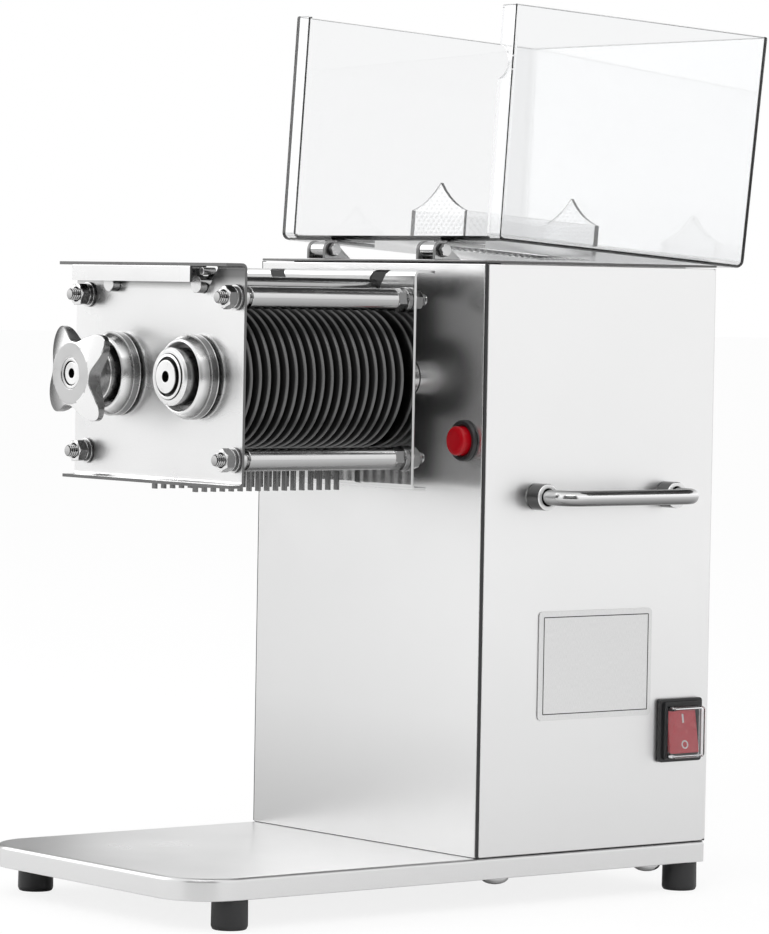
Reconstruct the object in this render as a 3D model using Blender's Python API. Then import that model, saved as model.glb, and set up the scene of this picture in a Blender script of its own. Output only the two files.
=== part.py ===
"""Two-roll meat slicer with a lift-off cutting cassette, a hinged clear guard and a belt drive.

Metres, +Z up. The origin is on the floor under the middle of the object's outline. -Y is the
front, where the cassette hangs over the base tray. +X is the side with the rocker switch.
The guard is modelled flipped back onto the cabinet, which is its rest.
"""

import math

import bmesh
import bpy
from mathutils import Matrix, Vector

# General
GAP = 0.0003
RUNNING_GAP = 0.0003
OVERRUN = 0.004
JOIN = 0.0006
SHEET = 0.0015

# Base tray and feet
TRAY_HEIGHT = 0.014
TRAY_SHEET = 0.002
TRAY_REACH = 0.222
TRAY_FRONT_RADIUS = 0.035
TRAY_REAR_RADIUS = 0.004
FOOT_HEIGHT = 0.019
FOOT_RADIUS = 0.0115
FOOT_TOE_RADIUS = 0.0105
FOOT_TOE_HEIGHT = 0.002
FOOT_STEM_RADIUS = 0.006
FOOT_SIDE_INSET = 0.0127
FOOT_FRONT_INSET = 0.0378
FOOT_REAR_INSET = 0.0120

# Cabinet
CABINET_WIDTH = 0.238
CABINET_DEPTH = 0.1975
CABINET_HEIGHT = 0.380
RETURN_WIDTH = 0.009
TOP_LIP_HEIGHT = 0.012
TOP_LIP_INSET = 0.006
TOP_LIP_END_INSET = 0.020
VENT_LENGTH = 0.070
VENT_HEIGHT = 0.004
VENT_PITCH = 0.011
VENT_COUNT = 7
VENT_DROP = 0.120
GLAND_OFFSET = -0.070
GLAND_LIFT = 0.050
GLAND_RADIUS = 0.011
GLAND_NECK_RADIUS = 0.0075
GLAND_BORE_RADIUS = 0.0042
GLAND_FLANGE = 0.004
GLAND_LENGTH = 0.018
GLAND_INNER = 0.010

# Rolls, seen from the front they turn on two parallel shafts
SHAFT_SPACING = 0.084
SHAFT_DROP = 0.076
SHAFT_RADIUS = 0.012
BLADE_RADIUS = 0.045
BLADE_THICKNESS = 0.003
BLADE_EDGE = 0.0014
BLADE_PITCH = 0.007
SPACER_RADIUS = 0.014
PACK_END_GAP = 0.0006
PACK_SETBACK = 0.0013
BLADES_RIGHT = 18
BLADES_LEFT = 17
SPIGOT_SIDE = 0.0134
SOCKET_SIDE = 0.014
SPIGOT_LENGTH = 0.028
SOCKET_DEPTH = 0.031

# Cassette frame
CASSETTE_WIDTH = 0.182
PLATE_SHEET = 0.002
FRONT_PLATE_FACE = 0.169
REAR_PLATE_FACE = 0.0335
FRONT_PLATE_TOP_DROP = 0.005
FRONT_PLATE_BOTTOM_DROP = 0.1438
REAR_PLATE_TOP_DROP = 0.007
REAR_PLATE_BOTTOM_DROP = 0.1467
FRONT_TOP_FLANGE = 0.014
FRONT_BOTTOM_FLANGE = 0.0095
REAR_TOP_FLANGE = 0.0145
REAR_BOTTOM_FLANGE = 0.0098
LIP_HEIGHT = 0.012
LIP_LEFT = -0.0765
LIP_RIGHT = 0.0525
SHAFT_HOLE_RADIUS = 0.014
TIE_LEFT = -0.077
TIE_RIGHT = 0.083
TIE_UPPER_DROP = 0.026
TIE_LOWER_DROP = 0.1265
TIE_HOLE_RADIUS = 0.0045

# Tie rods
TUBE_RADIUS = 0.007
STUD_RADIUS = 0.004
COLLAR_LENGTH = 0.0027
NECK_LENGTH = 0.0025
NECK_RADIUS = 0.005
INNER_NUT_LENGTH = 0.008
INNER_WASHER_LENGTH = 0.003
WASHER_RADIUS = 0.008
WASHER_LENGTH = 0.0016
SPRING_WASHER_RADIUS = 0.0068
SPRING_WASHER_LENGTH = 0.002
NUT_CORNER_RADIUS = 0.0075
NUT_LENGTH = 0.0065
STUD_FRONT_REACH = 0.0155
STUD_REAR_REACH = 0.0125

# Bearing cups and shaft ends
CUP_FLANGE_RADIUS = 0.0272
CUP_FLANGE_LENGTH = 0.0028
CUP_GROOVE_RADIUS = 0.0242
CUP_GROOVE_LENGTH = 0.0015
CUP_RIM_RADIUS = 0.0262
CUP_RIM_LENGTH = 0.007
CUP_RIM_ROUND = 0.0022
CUP_BORE_RADIUS = 0.0213
CUP_LAND_LENGTH = 0.006
REAR_CUP_RADIUS = 0.026
REAR_CUP_LENGTH = 0.0032
CAP_RADIUS = 0.0182
CAP_CHAMFER = 0.0012
CAP_LENGTH = 0.015
CAP_RECESS_RADIUS = 0.0133
CAP_RECESS_DEPTH = 0.0015
SHAFT_END_RADIUS = 0.0105
SHAFT_END_SET_BACK = 0.001
CENTRE_HOLE_RADIUS = 0.0035
CENTRE_HOLE_DEPTH = 0.004

# Star knob
KNOB_HUB_RADIUS = 0.0145
KNOB_HUB_LENGTH = 0.018
KNOB_RIM_LENGTH = 0.007
KNOB_CROWN = 0.0065
KNOB_TIP_RADIUS = 0.036
KNOB_NOTCH_RADIUS = 0.0198
KNOB_FACE_RADIUS = 0.0192
KNOB_LOBES = 4
KNOB_TURN = math.radians(38)
KNOB_POINTS = 48
KNOB_SHAFT_RADIUS = 0.0077
KNOB_RECESS_RADIUS = 0.0100
KNOB_RECESS_DEPTH = 0.0014

# Combs
COMB_ROD_OFFSET = 0.0475
COMB_ROD_DROP = 0.0183
COMB_ROD_RADIUS = 0.0055
COMB_ROD_FRONT_REACH = 0.006
COMB_ROD_REAR_REACH = 0.004
SLOT_WIDTH = 0.012
SLOT_TILT = math.radians(37)
SLOT_LENGTH = 0.030
SLOT_FLANGE_REACH = 0.0095
TINE_OFFSET = 0.0245
TINE_WIDTH = 0.004
TINE_THICKNESS = 0.002
TINE_DROP = 0.149
TINE_SHOULDER_OFFSET = 0.030
TINE_SHOULDER_RISE = 0.044
TINE_KNEE_RISE = 0.036
COMB_PIN_RADIUS = 0.0024
COMB_PIN_SPACING = 0.0102
COMB_TAB_LENGTH = 0.0025

# Hinge
HINGE_SETBACK = 0.005
HINGE_RISE = 0.0063
HINGE_OFFSET = 0.058
HINGE_HALF_WIDTH = 0.0098
EAR_THICKNESS = 0.0025
EAR_RADIUS = 0.0058
GUSSET_REACH = 0.0155
BRACKET_SOLE = 0.0015
BRACKET_SOLE_START = 0.0045
BARREL_RADIUS = 0.0052
BARREL_BORE_RADIUS = 0.0034
PIN_RADIUS = 0.003
PIN_HEAD_CORNER_RADIUS = 0.0044
PIN_HEAD_LENGTH = 0.0042
PIN_WASHER_RADIUS = 0.0046
PIN_WASHER_LENGTH = 0.001
LEAF_THICKNESS = 0.0024
LEAF_LENGTH = 0.030
LEAF_NECK_LIFT = 0.0056
LEAF_NECK_LENGTH = 0.0062

# Clear guard and feed chute, in the guard's own directions: along the panel, and off it
PANEL_SETBACK = 0.008
PANEL_LIFT = 0.007
GUARD_WALL = 0.003
GUARD_WIDTH = 0.2325
GUARD_LENGTH = 0.212
GUARD_HEIGHT = 0.151
GUARD_REAR_RISE = 0.0027
GUARD_FRONT_FLARE = 0.0002
GUARD_REAR_FLARE = 0.0058
GUARD_LEAN = 0.002
GUARD_LIP = 0.014
NOTCH_CLEARANCE = 0.003
CHUTE_WIDTH = 0.0564
CHUTE_START = 0.0413
CHUTE_END = 0.156
CHUTE_WALL = 0.0025
CHUTE_BLADE_CLEARANCE = 0.0088
CUSP_POINTS = 6

# Push button
BUTTON_SIDE_INSET = 0.019
BUTTON_DROP = 0.115
BEZEL_RADIUS = 0.01335
BEZEL_PROUD = 0.0024
BEZEL_CHAMFER = 0.0008
BUTTON_BODY_RADIUS = 0.0109
BUTTON_BODY_LENGTH = 0.017
BUTTON_RADIUS = 0.0094
BUTTON_ROUND = 0.0015
BUTTON_PROUD = 0.0085
BUTTON_INNER = 0.008
BUTTON_TRAVEL = 0.004

# Rocker switch
SWITCH_REAR_INSET = 0.0065
SWITCH_WIDTH = 0.0415
SWITCH_HEIGHT = 0.0435
SWITCH_LIFT = 0.0523
SWITCH_PROUD = 0.0055
SWITCH_BODY_DEPTH = 0.022
SWITCH_FLOOR = 0.003
ROCKER_WIDTH = 0.024
ROCKER_HEIGHT = 0.030
ROCKER_TILT = math.radians(9)
ROCKER_DEPTH = 0.010
ROCKER_RISE = 0.002
ROCKER_AXIS_DEPTH = 0.004
ROCKER_WELL_GAP = 0.0018
ROCKER_PIN_RADIUS = 0.0015
BOOT_WIDTH = 0.033
BOOT_HEIGHT = 0.036
BOOT_PROUD = 0.0075
BOOT_WALL = 0.0012

# Blank plate
LABEL_WIDTH = 0.100
LABEL_HEIGHT = 0.075
LABEL_THICKNESS = 0.0008
LABEL_FRONT_INSET = 0.0464
LABEL_LIFT = 0.0818

# Handles
HANDLE_LIFT = 0.230
HANDLE_FRONT_INSET = 0.045
HANDLE_SPACING = 0.110
HANDLE_BAR_RADIUS = 0.005
HANDLE_STAND_OFF = 0.033
HANDLE_BEND_RADIUS = 0.012
HANDLE_BEND_STEPS = 4
HANDLE_BOSS_RADIUS = 0.0086
HANDLE_BOSS_LENGTH = 0.012
HANDLE_STUB_RADIUS = 0.003
HANDLE_STUB_LENGTH = 0.006

# Drive
GEAR_MODULE = 0.003
OUTPUT_TEETH = 28
PINION_TEETH = 18
GEAR_WIDTH = 0.018
GEAR_BACKLASH = 0.0004
GEAR_ROOT_FACTOR = 1.25
PRESSURE_ANGLE = math.radians(20)
GEARBOX_PLATE = 0.010
GEARBOX_SPACE = 0.030
GEARBOX_MARGIN = 0.001
GEARBOX_RISE = 0.052
GEARBOX_DROP = 0.100
GEAR_INSET = 0.006
PILLAR_RADIUS = 0.006
PILLAR_INSET = 0.010
LAYSHAFT_RADIUS = 0.008
OUTPUT_REAR_REACH = 0.004
COLLAR_RADIUS = 0.017
COLLAR_GAP = 0.0005
PULLEY_GAP = 0.010
PULLEY_WIDTH = 0.018
PULLEY_FLANGE = 0.003
DRIVEN_SIDE_GAP = 0.0095
DRIVER_RADIUS = 0.022
PULLEY_GROOVE = 0.007
BELT_TOP_WIDTH = 0.0098
BELT_BOTTOM_WIDTH = 0.007
BELT_DEPTH = 0.006
BELT_ROOT_GAP = 0.0012
BELT_STEPS = 14
MOTOR_OFFSET = -0.018
MOTOR_RADIUS = 0.056
MOTOR_LIFT = 0.070
MOTOR_LENGTH = 0.088
MOTOR_GAP = 0.008
MOTOR_CHAMFER = 0.006
MOTOR_SHAFT_RADIUS = 0.008
MOTOR_SHAFT_INNER = 0.070
CRADLE_HALF_WIDTH = 0.052
CRADLE_LENGTH = 0.064
CRADLE_INSET = 0.012
CRADLE_ANGLE = math.radians(48)
CRADLE_STEPS = 8

# Places worked out from the sizes above
TRAY_BOTTOM = FOOT_HEIGHT
TRAY_TOP = TRAY_BOTTOM + TRAY_HEIGHT
CABINET_BOTTOM = TRAY_TOP + GAP
CABINET_TOP = CABINET_BOTTOM + CABINET_HEIGHT
HALF_WIDTH = CABINET_WIDTH / 2
HINGE_DISTANCE = CABINET_DEPTH - HINGE_SETBACK
REST_TILT = math.asin(
    PANEL_LIFT / math.hypot(HINGE_DISTANCE, HINGE_RISE - GAP)
) + math.atan2(HINGE_RISE - GAP, HINGE_DISTANCE)
GUARD_REACH = (
    HINGE_SETBACK
    + (PANEL_SETBACK + GUARD_LENGTH + GUARD_LEAN) * math.cos(REST_TILT)
    + (PANEL_LIFT + GUARD_HEIGHT + GUARD_REAR_RISE) * math.sin(REST_TILT)
)
FRONT = (TRAY_REACH - GUARD_REACH) / 2
REAR = FRONT + CABINET_DEPTH
TRAY_FRONT = FRONT - TRAY_REACH
HALF_SPACING = SHAFT_SPACING / 2
SHAFT_Z = CABINET_TOP - SHAFT_DROP
FRONT_FACE = FRONT - FRONT_PLATE_FACE
FRONT_INNER = FRONT_FACE + PLATE_SHEET
REAR_FACE = FRONT - REAR_PLATE_FACE
REAR_INNER = REAR_FACE - PLATE_SHEET
PACK_MIDDLE = (FRONT_INNER + REAR_INNER) / 2 + PACK_SETBACK
LAND_FRONT = FRONT_FACE - GAP - CUP_LAND_LENGTH
SHAFT_SHOULDER = REAR_FACE + GAP + REAR_CUP_LENGTH + GAP
OUTPUT_FRONT = SHAFT_SHOULDER + GAP
COMB_ROD_Z = CABINET_TOP - COMB_ROD_DROP
HINGE_Y = FRONT + HINGE_SETBACK
HINGE_Z = CABINET_TOP + HINGE_RISE
BUTTON_X = HALF_WIDTH - BUTTON_SIDE_INSET
BUTTON_Z = CABINET_TOP - BUTTON_DROP
BOX_FRONT = FRONT + SHEET + GAP
GEARS_FRONT = BOX_FRONT + GEARBOX_PLATE + GEAR_INSET
BOX_REAR = BOX_FRONT + GEARBOX_PLATE + GEARBOX_SPACE
GEARBOX_HALF_WIDTH = HALF_SPACING + GEAR_MODULE * (OUTPUT_TEETH + 2) / 2 + GEARBOX_MARGIN
PULLEY_FRONT = BOX_REAR + GEARBOX_PLATE + PULLEY_GAP
PULLEY_MIDDLE = PULLEY_FRONT + PULLEY_WIDTH / 2
LAYSHAFT_X = HALF_SPACING
DRIVEN_RADIUS = HALF_WIDTH - SHEET - DRIVEN_SIDE_GAP - LAYSHAFT_X
LAYSHAFT_Z = SHAFT_Z - GEAR_MODULE * (OUTPUT_TEETH + PINION_TEETH) / 2
MOTOR_Z = TRAY_TOP + MOTOR_LIFT
MOTOR_FRONT = PULLEY_FRONT + PULLEY_WIDTH + MOTOR_GAP

ALONG_Y = Matrix.Rotation(math.radians(-90), 4, "X")
ALONG_X = Matrix.Rotation(math.radians(90), 4, "Y")


def clear_scene():
    for obj in list(bpy.data.objects):
        bpy.data.objects.remove(obj, do_unlink=True)


def material(name, colour, metallic, roughness, transmission=0.0):
    found = bpy.data.materials.get(name)
    if found:
        return found
    made = bpy.data.materials.new(name)
    made.use_nodes = True
    shader = made.node_tree.nodes["Principled BSDF"]
    shader.inputs["Base Color"].default_value = (*colour, 1.0)
    shader.inputs["Metallic"].default_value = metallic
    shader.inputs["Roughness"].default_value = roughness
    shader.inputs["Transmission Weight"].default_value = transmission
    made.diffuse_color = (*colour, 1.0)
    return made


def brushed_steel():
    return material("brushed_steel", (0.72, 0.72, 0.71), 1.0, 0.32)


def polished_steel():
    return material("polished_steel", (0.80, 0.80, 0.80), 1.0, 0.12)


def blade_steel():
    return material("blade_steel", (0.16, 0.16, 0.17), 1.0, 0.28)


def cast_aluminium():
    return material("cast_aluminium", (0.62, 0.63, 0.64), 1.0, 0.45)


def black_rubber():
    return material("black_rubber", (0.015, 0.015, 0.016), 0.0, 0.7)


def black_plastic():
    return material("black_plastic", (0.02, 0.02, 0.022), 0.0, 0.4)


def red_plastic():
    return material("red_plastic", (0.62, 0.01, 0.02), 0.0, 0.3)


def clear_plastic():
    return material("clear_plastic", (0.93, 0.95, 0.95), 0.0, 0.06, 0.95)


def motor_paint():
    return material("motor_paint", (0.10, 0.11, 0.12), 0.3, 0.5)


def object_from(bm, name, stuff, at=None, smooth=True):
    """The bmesh as an object. Its points are already in place, so a given origin is subtracted."""
    bmesh.ops.recalc_face_normals(bm, faces=bm.faces[:])
    place = Vector(at or (0, 0, 0))
    bmesh.ops.translate(bm, verts=bm.verts[:], vec=-place)
    mesh = bpy.data.meshes.new(name)
    bm.to_mesh(mesh)
    bm.free()
    obj = bpy.data.objects.new(name, mesh)
    obj.location = place
    bpy.context.scene.collection.objects.link(obj)
    if stuff:
        mesh.materials.append(stuff)
    if smooth:
        mesh.shade_smooth()
        mesh.set_sharp_from_angle(angle=math.radians(35))
    return obj


def box(low, high):
    bm = bmesh.new()
    made = bmesh.ops.create_cube(bm, size=1)["verts"]
    middle = (Vector(low) + Vector(high)) / 2
    size = Vector(high) - Vector(low)
    bmesh.ops.scale(bm, verts=made, vec=size)
    bmesh.ops.translate(bm, verts=made, vec=middle)
    return bm


def block(corners):
    """A six-sided solid from the four corners of its bottom and the four of its top."""
    bm = bmesh.new()
    points = [bm.verts.new(corner) for corner in corners]
    bm.faces.new(points[:4])
    bm.faces.new(points[4:])
    for side in range(4):
        after = (side + 1) % 4
        bm.faces.new([points[side], points[after], points[4 + after], points[4 + side]])
    return bm


def prism(outline, start, end, across):
    """The outline, extruded. across names the axis that it runs along, and the outline's two
    values are the other two axes in X, Y, Z order."""
    bm = bmesh.new()

    def placed(pair, depth):
        first, second = pair
        if across == "X":
            return (depth, first, second)
        if across == "Y":
            return (first, depth, second)
        return (first, second, depth)

    face = bm.faces.new([bm.verts.new(placed(pair, start)) for pair in outline])
    grown = bmesh.ops.extrude_face_region(bm, geom=[face])["geom"]
    moved = [item for item in grown if isinstance(item, bmesh.types.BMVert)]
    shift = Vector(placed((0, 0), end)) - Vector(placed((0, 0), start))
    bmesh.ops.translate(bm, verts=moved, vec=shift)
    return bm


def turned(profile, centre, steps, along="Y"):
    """The profile of (radius, place along the axis) points, spun once round an axis through
    centre. A profile that doesn't start and end on the axis is closed on itself."""
    bm = bmesh.new()
    points = [bm.verts.new((radius, 0, place)) for radius, place in profile]
    edges = [bm.edges.new(pair) for pair in zip(points, points[1:])]
    if profile[0][0] > 0:
        edges.append(bm.edges.new((points[-1], points[0])))
    bmesh.ops.spin(
        bm,
        geom=points + edges,
        cent=(0, 0, 0),
        axis=(0, 0, 1),
        dvec=(0, 0, 0),
        angle=2 * math.pi,
        steps=steps,
        use_merge=True,
    )
    bmesh.ops.remove_doubles(bm, verts=bm.verts[:], dist=1e-6)
    turn = {"X": ALONG_X, "Y": ALONG_Y, "Z": Matrix.Identity(4)}[along]
    bmesh.ops.transform(bm, matrix=Matrix.Translation(centre) @ turn, verts=bm.verts[:])
    return bm


def rod(radius, start, end, centre, steps, along="Y"):
    return turned([(0, start), (radius, start), (radius, end), (0, end)], centre, steps, along)


def merged(parts):
    """Several bmeshes in one. The solids in it don't touch."""
    whole = bmesh.new()
    for part in parts:
        mesh = bpy.data.meshes.new("part")
        part.to_mesh(mesh)
        part.free()
        whole.from_mesh(mesh)
        bpy.data.meshes.remove(mesh)
    return whole


def boolean(obj, tool, name, operation):
    helper = object_from(tool, obj.name + "_" + name, None, smooth=False)
    helper.parent = obj
    helper.matrix_parent_inverse = Matrix.Translation(-obj.location)
    helper.hide_render = True
    helper.display_type = "WIRE"
    step = obj.modifiers.new(name, "BOOLEAN")
    step.operation = operation
    step.solver = "EXACT"
    step.object = helper
    return obj


def cut(obj, tool, name="cut"):
    return boolean(obj, tool, name, "DIFFERENCE")


def join(obj, tool, name="join"):
    return boolean(obj, tool, name, "UNION")


def arc(centre, radius, start, end, steps):
    """Points on an arc, from the start angle to the end angle, both included."""
    return [
        (
            centre[0] + radius * math.cos(start + (end - start) * step / steps),
            centre[1] + radius * math.sin(start + (end - start) * step / steps),
        )
        for step in range(steps + 1)
    ]


def hexagon(centre, radius, turn=math.radians(30)):
    return arc(centre, radius, turn, turn + math.radians(300), 5)


def blade_places(count):
    return [PACK_MIDDLE + (number - (count - 1) / 2) * BLADE_PITCH for number in range(count)]


# Base


def tray_outline(inset):
    low_x, high_x = -HALF_WIDTH + inset, HALF_WIDTH - inset
    low_y, high_y = TRAY_FRONT + inset, REAR - inset
    front = TRAY_FRONT_RADIUS - inset
    rear = TRAY_REAR_RADIUS - inset
    right = math.radians(90)
    return (
        arc((low_x + front, low_y + front), front, 2 * right, 3 * right, 7)
        + arc((high_x - front, low_y + front), front, 3 * right, 4 * right, 7)
        + arc((high_x - rear, high_y - rear), rear, 0, right, 2)
        + arc((low_x + rear, high_y - rear), rear, right, 2 * right, 2)
    )


def build_tray():
    tray = object_from(
        prism(tray_outline(0), TRAY_BOTTOM, TRAY_TOP, "Z"), "base_tray", brushed_steel()
    )
    hollow = prism(
        tray_outline(TRAY_SHEET), TRAY_BOTTOM - OVERRUN, TRAY_TOP - TRAY_SHEET, "Z"
    )
    return cut(tray, hollow, "hollow")


def build_feet():
    front = TRAY_FRONT + FOOT_FRONT_INSET
    rear = REAR - FOOT_REAR_INSET
    side = HALF_WIDTH - FOOT_SIDE_INSET
    stem_top = TRAY_TOP - TRAY_SHEET - GAP
    profile = [
        (0, 0),
        (FOOT_TOE_RADIUS, 0),
        (FOOT_RADIUS, FOOT_TOE_HEIGHT),
        (FOOT_RADIUS, FOOT_HEIGHT - GAP),
        (FOOT_STEM_RADIUS, FOOT_HEIGHT - GAP),
        (FOOT_STEM_RADIUS, stem_top),
        (0, stem_top),
    ]
    for end, y in (("front", front), ("rear", rear)):
        for hand, x in (("left", -side), ("right", side)):
            foot = turned(profile, (x, y, 0), 14, "Z")
            object_from(foot, f"foot_{end}_{hand}", black_rubber())


# Cabinet


def channel_outline(face, inward):
    """Seen from above, a sheet across the cabinet with a return at each end."""
    outer = HALF_WIDTH
    inner = HALF_WIDTH - SHEET - GAP
    back = face + inward * SHEET
    tip = face + inward * RETURN_WIDTH
    return [
        (-outer, face),
        (outer, face),
        (outer, back),
        (inner, back),
        (inner, tip),
        (inner - SHEET, tip),
        (inner - SHEET, back),
        (-inner + SHEET, back),
        (-inner + SHEET, tip),
        (-inner, tip),
        (-inner, back),
        (-outer, back),
    ]


def build_front_panel():
    top = CABINET_TOP - SHEET - GAP
    panel = object_from(
        prism(channel_outline(FRONT, 1), CABINET_BOTTOM, top, "Z"),
        "cabinet_front_panel",
        brushed_steel(),
        smooth=False,
    )
    start, end = FRONT - OVERRUN, FRONT + OVERRUN
    holes = [
        rod(SHAFT_RADIUS + 2 * RUNNING_GAP, start, end, (side * HALF_SPACING, 0, SHAFT_Z), 20)
        for side in (-1, 1)
    ]
    holes.append(
        rod(BUTTON_BODY_RADIUS + GAP, start, end, (BUTTON_X, 0, BUTTON_Z), 20)
    )
    return cut(panel, merged(holes), "holes")


def build_rear_cover():
    top = CABINET_TOP - SHEET - GAP
    cover = object_from(
        prism(channel_outline(REAR, -1), CABINET_BOTTOM, top, "Z"),
        "cabinet_rear_cover",
        brushed_steel(),
        smooth=False,
    )
    tools = []
    for number in range(VENT_COUNT):
        z = CABINET_TOP - VENT_DROP - number * VENT_PITCH
        tools.append(
            box(
                (-VENT_LENGTH / 2, REAR - OVERRUN, z - VENT_HEIGHT / 2),
                (VENT_LENGTH / 2, REAR + OVERRUN, z + VENT_HEIGHT / 2),
            )
        )
    centre = (GLAND_OFFSET, 0, TRAY_TOP + GLAND_LIFT)
    tools.append(rod(GLAND_NECK_RADIUS + GAP, REAR - OVERRUN, REAR + OVERRUN, centre, 16))
    return cut(cover, merged(tools), "openings")


def build_gland():
    inside = REAR - SHEET - GLAND_INNER
    seat = REAR + GAP
    profile = [
        (GLAND_BORE_RADIUS, inside),
        (GLAND_NECK_RADIUS, inside),
        (GLAND_NECK_RADIUS, seat),
        (GLAND_RADIUS, seat),
        (GLAND_RADIUS, seat + GLAND_FLANGE),
        (GLAND_NECK_RADIUS, seat + GLAND_LENGTH),
        (GLAND_BORE_RADIUS, seat + GLAND_LENGTH),
    ]
    centre = (GLAND_OFFSET, 0, TRAY_TOP + GLAND_LIFT)
    object_from(turned(profile, centre, 16), "cord_gland", black_plastic())


def build_top_panel():
    inner = HALF_WIDTH - SHEET - GAP - SHEET - TOP_LIP_INSET
    low, high = CABINET_TOP - SHEET, CABINET_TOP
    tip = CABINET_TOP - TOP_LIP_HEIGHT
    panel = object_from(
        box((-HALF_WIDTH, FRONT, low), (HALF_WIDTH, REAR, high)),
        "cabinet_top_panel",
        brushed_steel(),
        smooth=False,
    )
    start, end = FRONT + TOP_LIP_END_INSET, REAR - TOP_LIP_END_INSET
    lips = [
        box((inner - SHEET, start, tip), (inner, end, low + JOIN)),
        box((-inner, start, tip), (-inner + SHEET, end, low + JOIN)),
    ]
    return join(panel, merged(lips), "lips")


def handle_places():
    first = FRONT + HANDLE_FRONT_INSET
    return (first, first + HANDLE_SPACING)


def switch_middle():
    y = REAR - SWITCH_REAR_INSET - SWITCH_WIDTH / 2
    return y, TRAY_TOP + SWITCH_LIFT + SWITCH_HEIGHT / 2


def build_side_panels():
    start, end = FRONT + SHEET + GAP, REAR - SHEET - GAP
    top = CABINET_TOP - SHEET - GAP
    middle = HALF_WIDTH - SHEET / 2
    for hand, side in (("left", -1), ("right", 1)):
        inner, outer = sorted((side * (HALF_WIDTH - SHEET), side * HALF_WIDTH))
        panel = object_from(
            box((inner, start, CABINET_BOTTOM), (outer, end, top)),
            f"cabinet_{hand}_side",
            brushed_steel(),
            smooth=False,
        )
        reach = side * middle
        tools = [
            rod(
                HANDLE_STUB_RADIUS + GAP,
                reach - OVERRUN,
                reach + OVERRUN,
                (0, y, TRAY_TOP + HANDLE_LIFT),
                12,
                "X",
            )
            for y in handle_places()
        ]
        if side > 0:
            y, z = switch_middle()
            half_y = ROCKER_WIDTH / 2 + ROCKER_WELL_GAP + SWITCH_FLOOR + GAP
            half_z = ROCKER_HEIGHT / 2 + ROCKER_WELL_GAP + SWITCH_FLOOR + GAP
            tools.append(
                box(
                    (reach - OVERRUN, y - half_y, z - half_z),
                    (reach + OVERRUN, y + half_y, z + half_z),
                )
            )
        cut(panel, merged(tools), "holes")


# Cassette


def side_slots(start, end, side):
    """The hook slot of one comb rod, through everything from start to end."""
    centre = Vector((side * COMB_ROD_OFFSET, COMB_ROD_Z))
    up = Vector((side * math.sin(SLOT_TILT), math.cos(SLOT_TILT)))
    across = Vector((up.y, -up.x))
    half = SLOT_WIDTH / 2
    top = centre + up * SLOT_LENGTH
    face = math.atan2(across.y, across.x)
    round_end = arc(centre, half, face, face - math.pi, 8)
    outline = round_end + [tuple(top - across * half), tuple(top + across * half)]
    return prism(outline, start, end, "Y")


def plate_holes(start, end):
    tools = [
        rod(SHAFT_HOLE_RADIUS, start, end, (side * HALF_SPACING, 0, SHAFT_Z), 20)
        for side in (-1, 1)
    ]
    for drop in (TIE_UPPER_DROP, TIE_LOWER_DROP):
        for x in (TIE_LEFT, TIE_RIGHT):
            centre = (x, 0, CABINET_TOP - drop)
            tools.append(rod(TIE_HOLE_RADIUS, start, end, centre, 12))
    return tools


def flanged_outline(face, outward, top, bottom, top_flange, bottom_flange):
    """Seen from the side, a plate with a flange at its top and bottom, both turned outward."""
    inner = face - outward * PLATE_SHEET
    return [
        (inner, bottom),
        (inner, top),
        (face + outward * top_flange, top),
        (face + outward * top_flange, top - PLATE_SHEET),
        (face, top - PLATE_SHEET),
        (face, bottom + PLATE_SHEET),
        (face + outward * bottom_flange, bottom + PLATE_SHEET),
        (face + outward * bottom_flange, bottom),
    ]


def build_front_plate():
    top = CABINET_TOP - FRONT_PLATE_TOP_DROP
    bottom = CABINET_TOP - FRONT_PLATE_BOTTOM_DROP
    outline = flanged_outline(
        FRONT_FACE, -1, top, bottom, FRONT_TOP_FLANGE, FRONT_BOTTOM_FLANGE
    )
    half = CASSETTE_WIDTH / 2
    plate = object_from(
        prism(outline, -half, half, "X"), "cassette_front_plate", brushed_steel(), smooth=False
    )
    edge = FRONT_FACE - FRONT_TOP_FLANGE
    lip = box(
        (LIP_LEFT, edge, top - LIP_HEIGHT), (LIP_RIGHT, edge + PLATE_SHEET, top - JOIN)
    )
    join(plate, lip, "lip")
    cut(plate, merged(plate_holes(FRONT_FACE - OVERRUN, FRONT_INNER + OVERRUN)), "holes")
    near = FRONT_FACE - SLOT_FLANGE_REACH
    far = FRONT_INNER + OVERRUN
    return cut(
        plate, merged([side_slots(near, far, -1), side_slots(near, far, 1)]), "slots"
    )


def build_rear_plate():
    top = CABINET_TOP - REAR_PLATE_TOP_DROP
    bottom = CABINET_TOP - REAR_PLATE_BOTTOM_DROP
    outline = flanged_outline(REAR_FACE, 1, top, bottom, REAR_TOP_FLANGE, REAR_BOTTOM_FLANGE)
    half = CASSETTE_WIDTH / 2
    plate = object_from(
        prism(outline, -half, half, "X"), "cassette_rear_plate", brushed_steel(), smooth=False
    )
    near, far = REAR_INNER - OVERRUN, REAR_FACE + OVERRUN
    cut(plate, merged(plate_holes(near, far)), "holes")
    far = REAR_FACE + REAR_TOP_FLANGE + OVERRUN
    return cut(
        plate, merged([side_slots(near, far, -1), side_slots(near, far, 1)]), "slots"
    )


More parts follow.
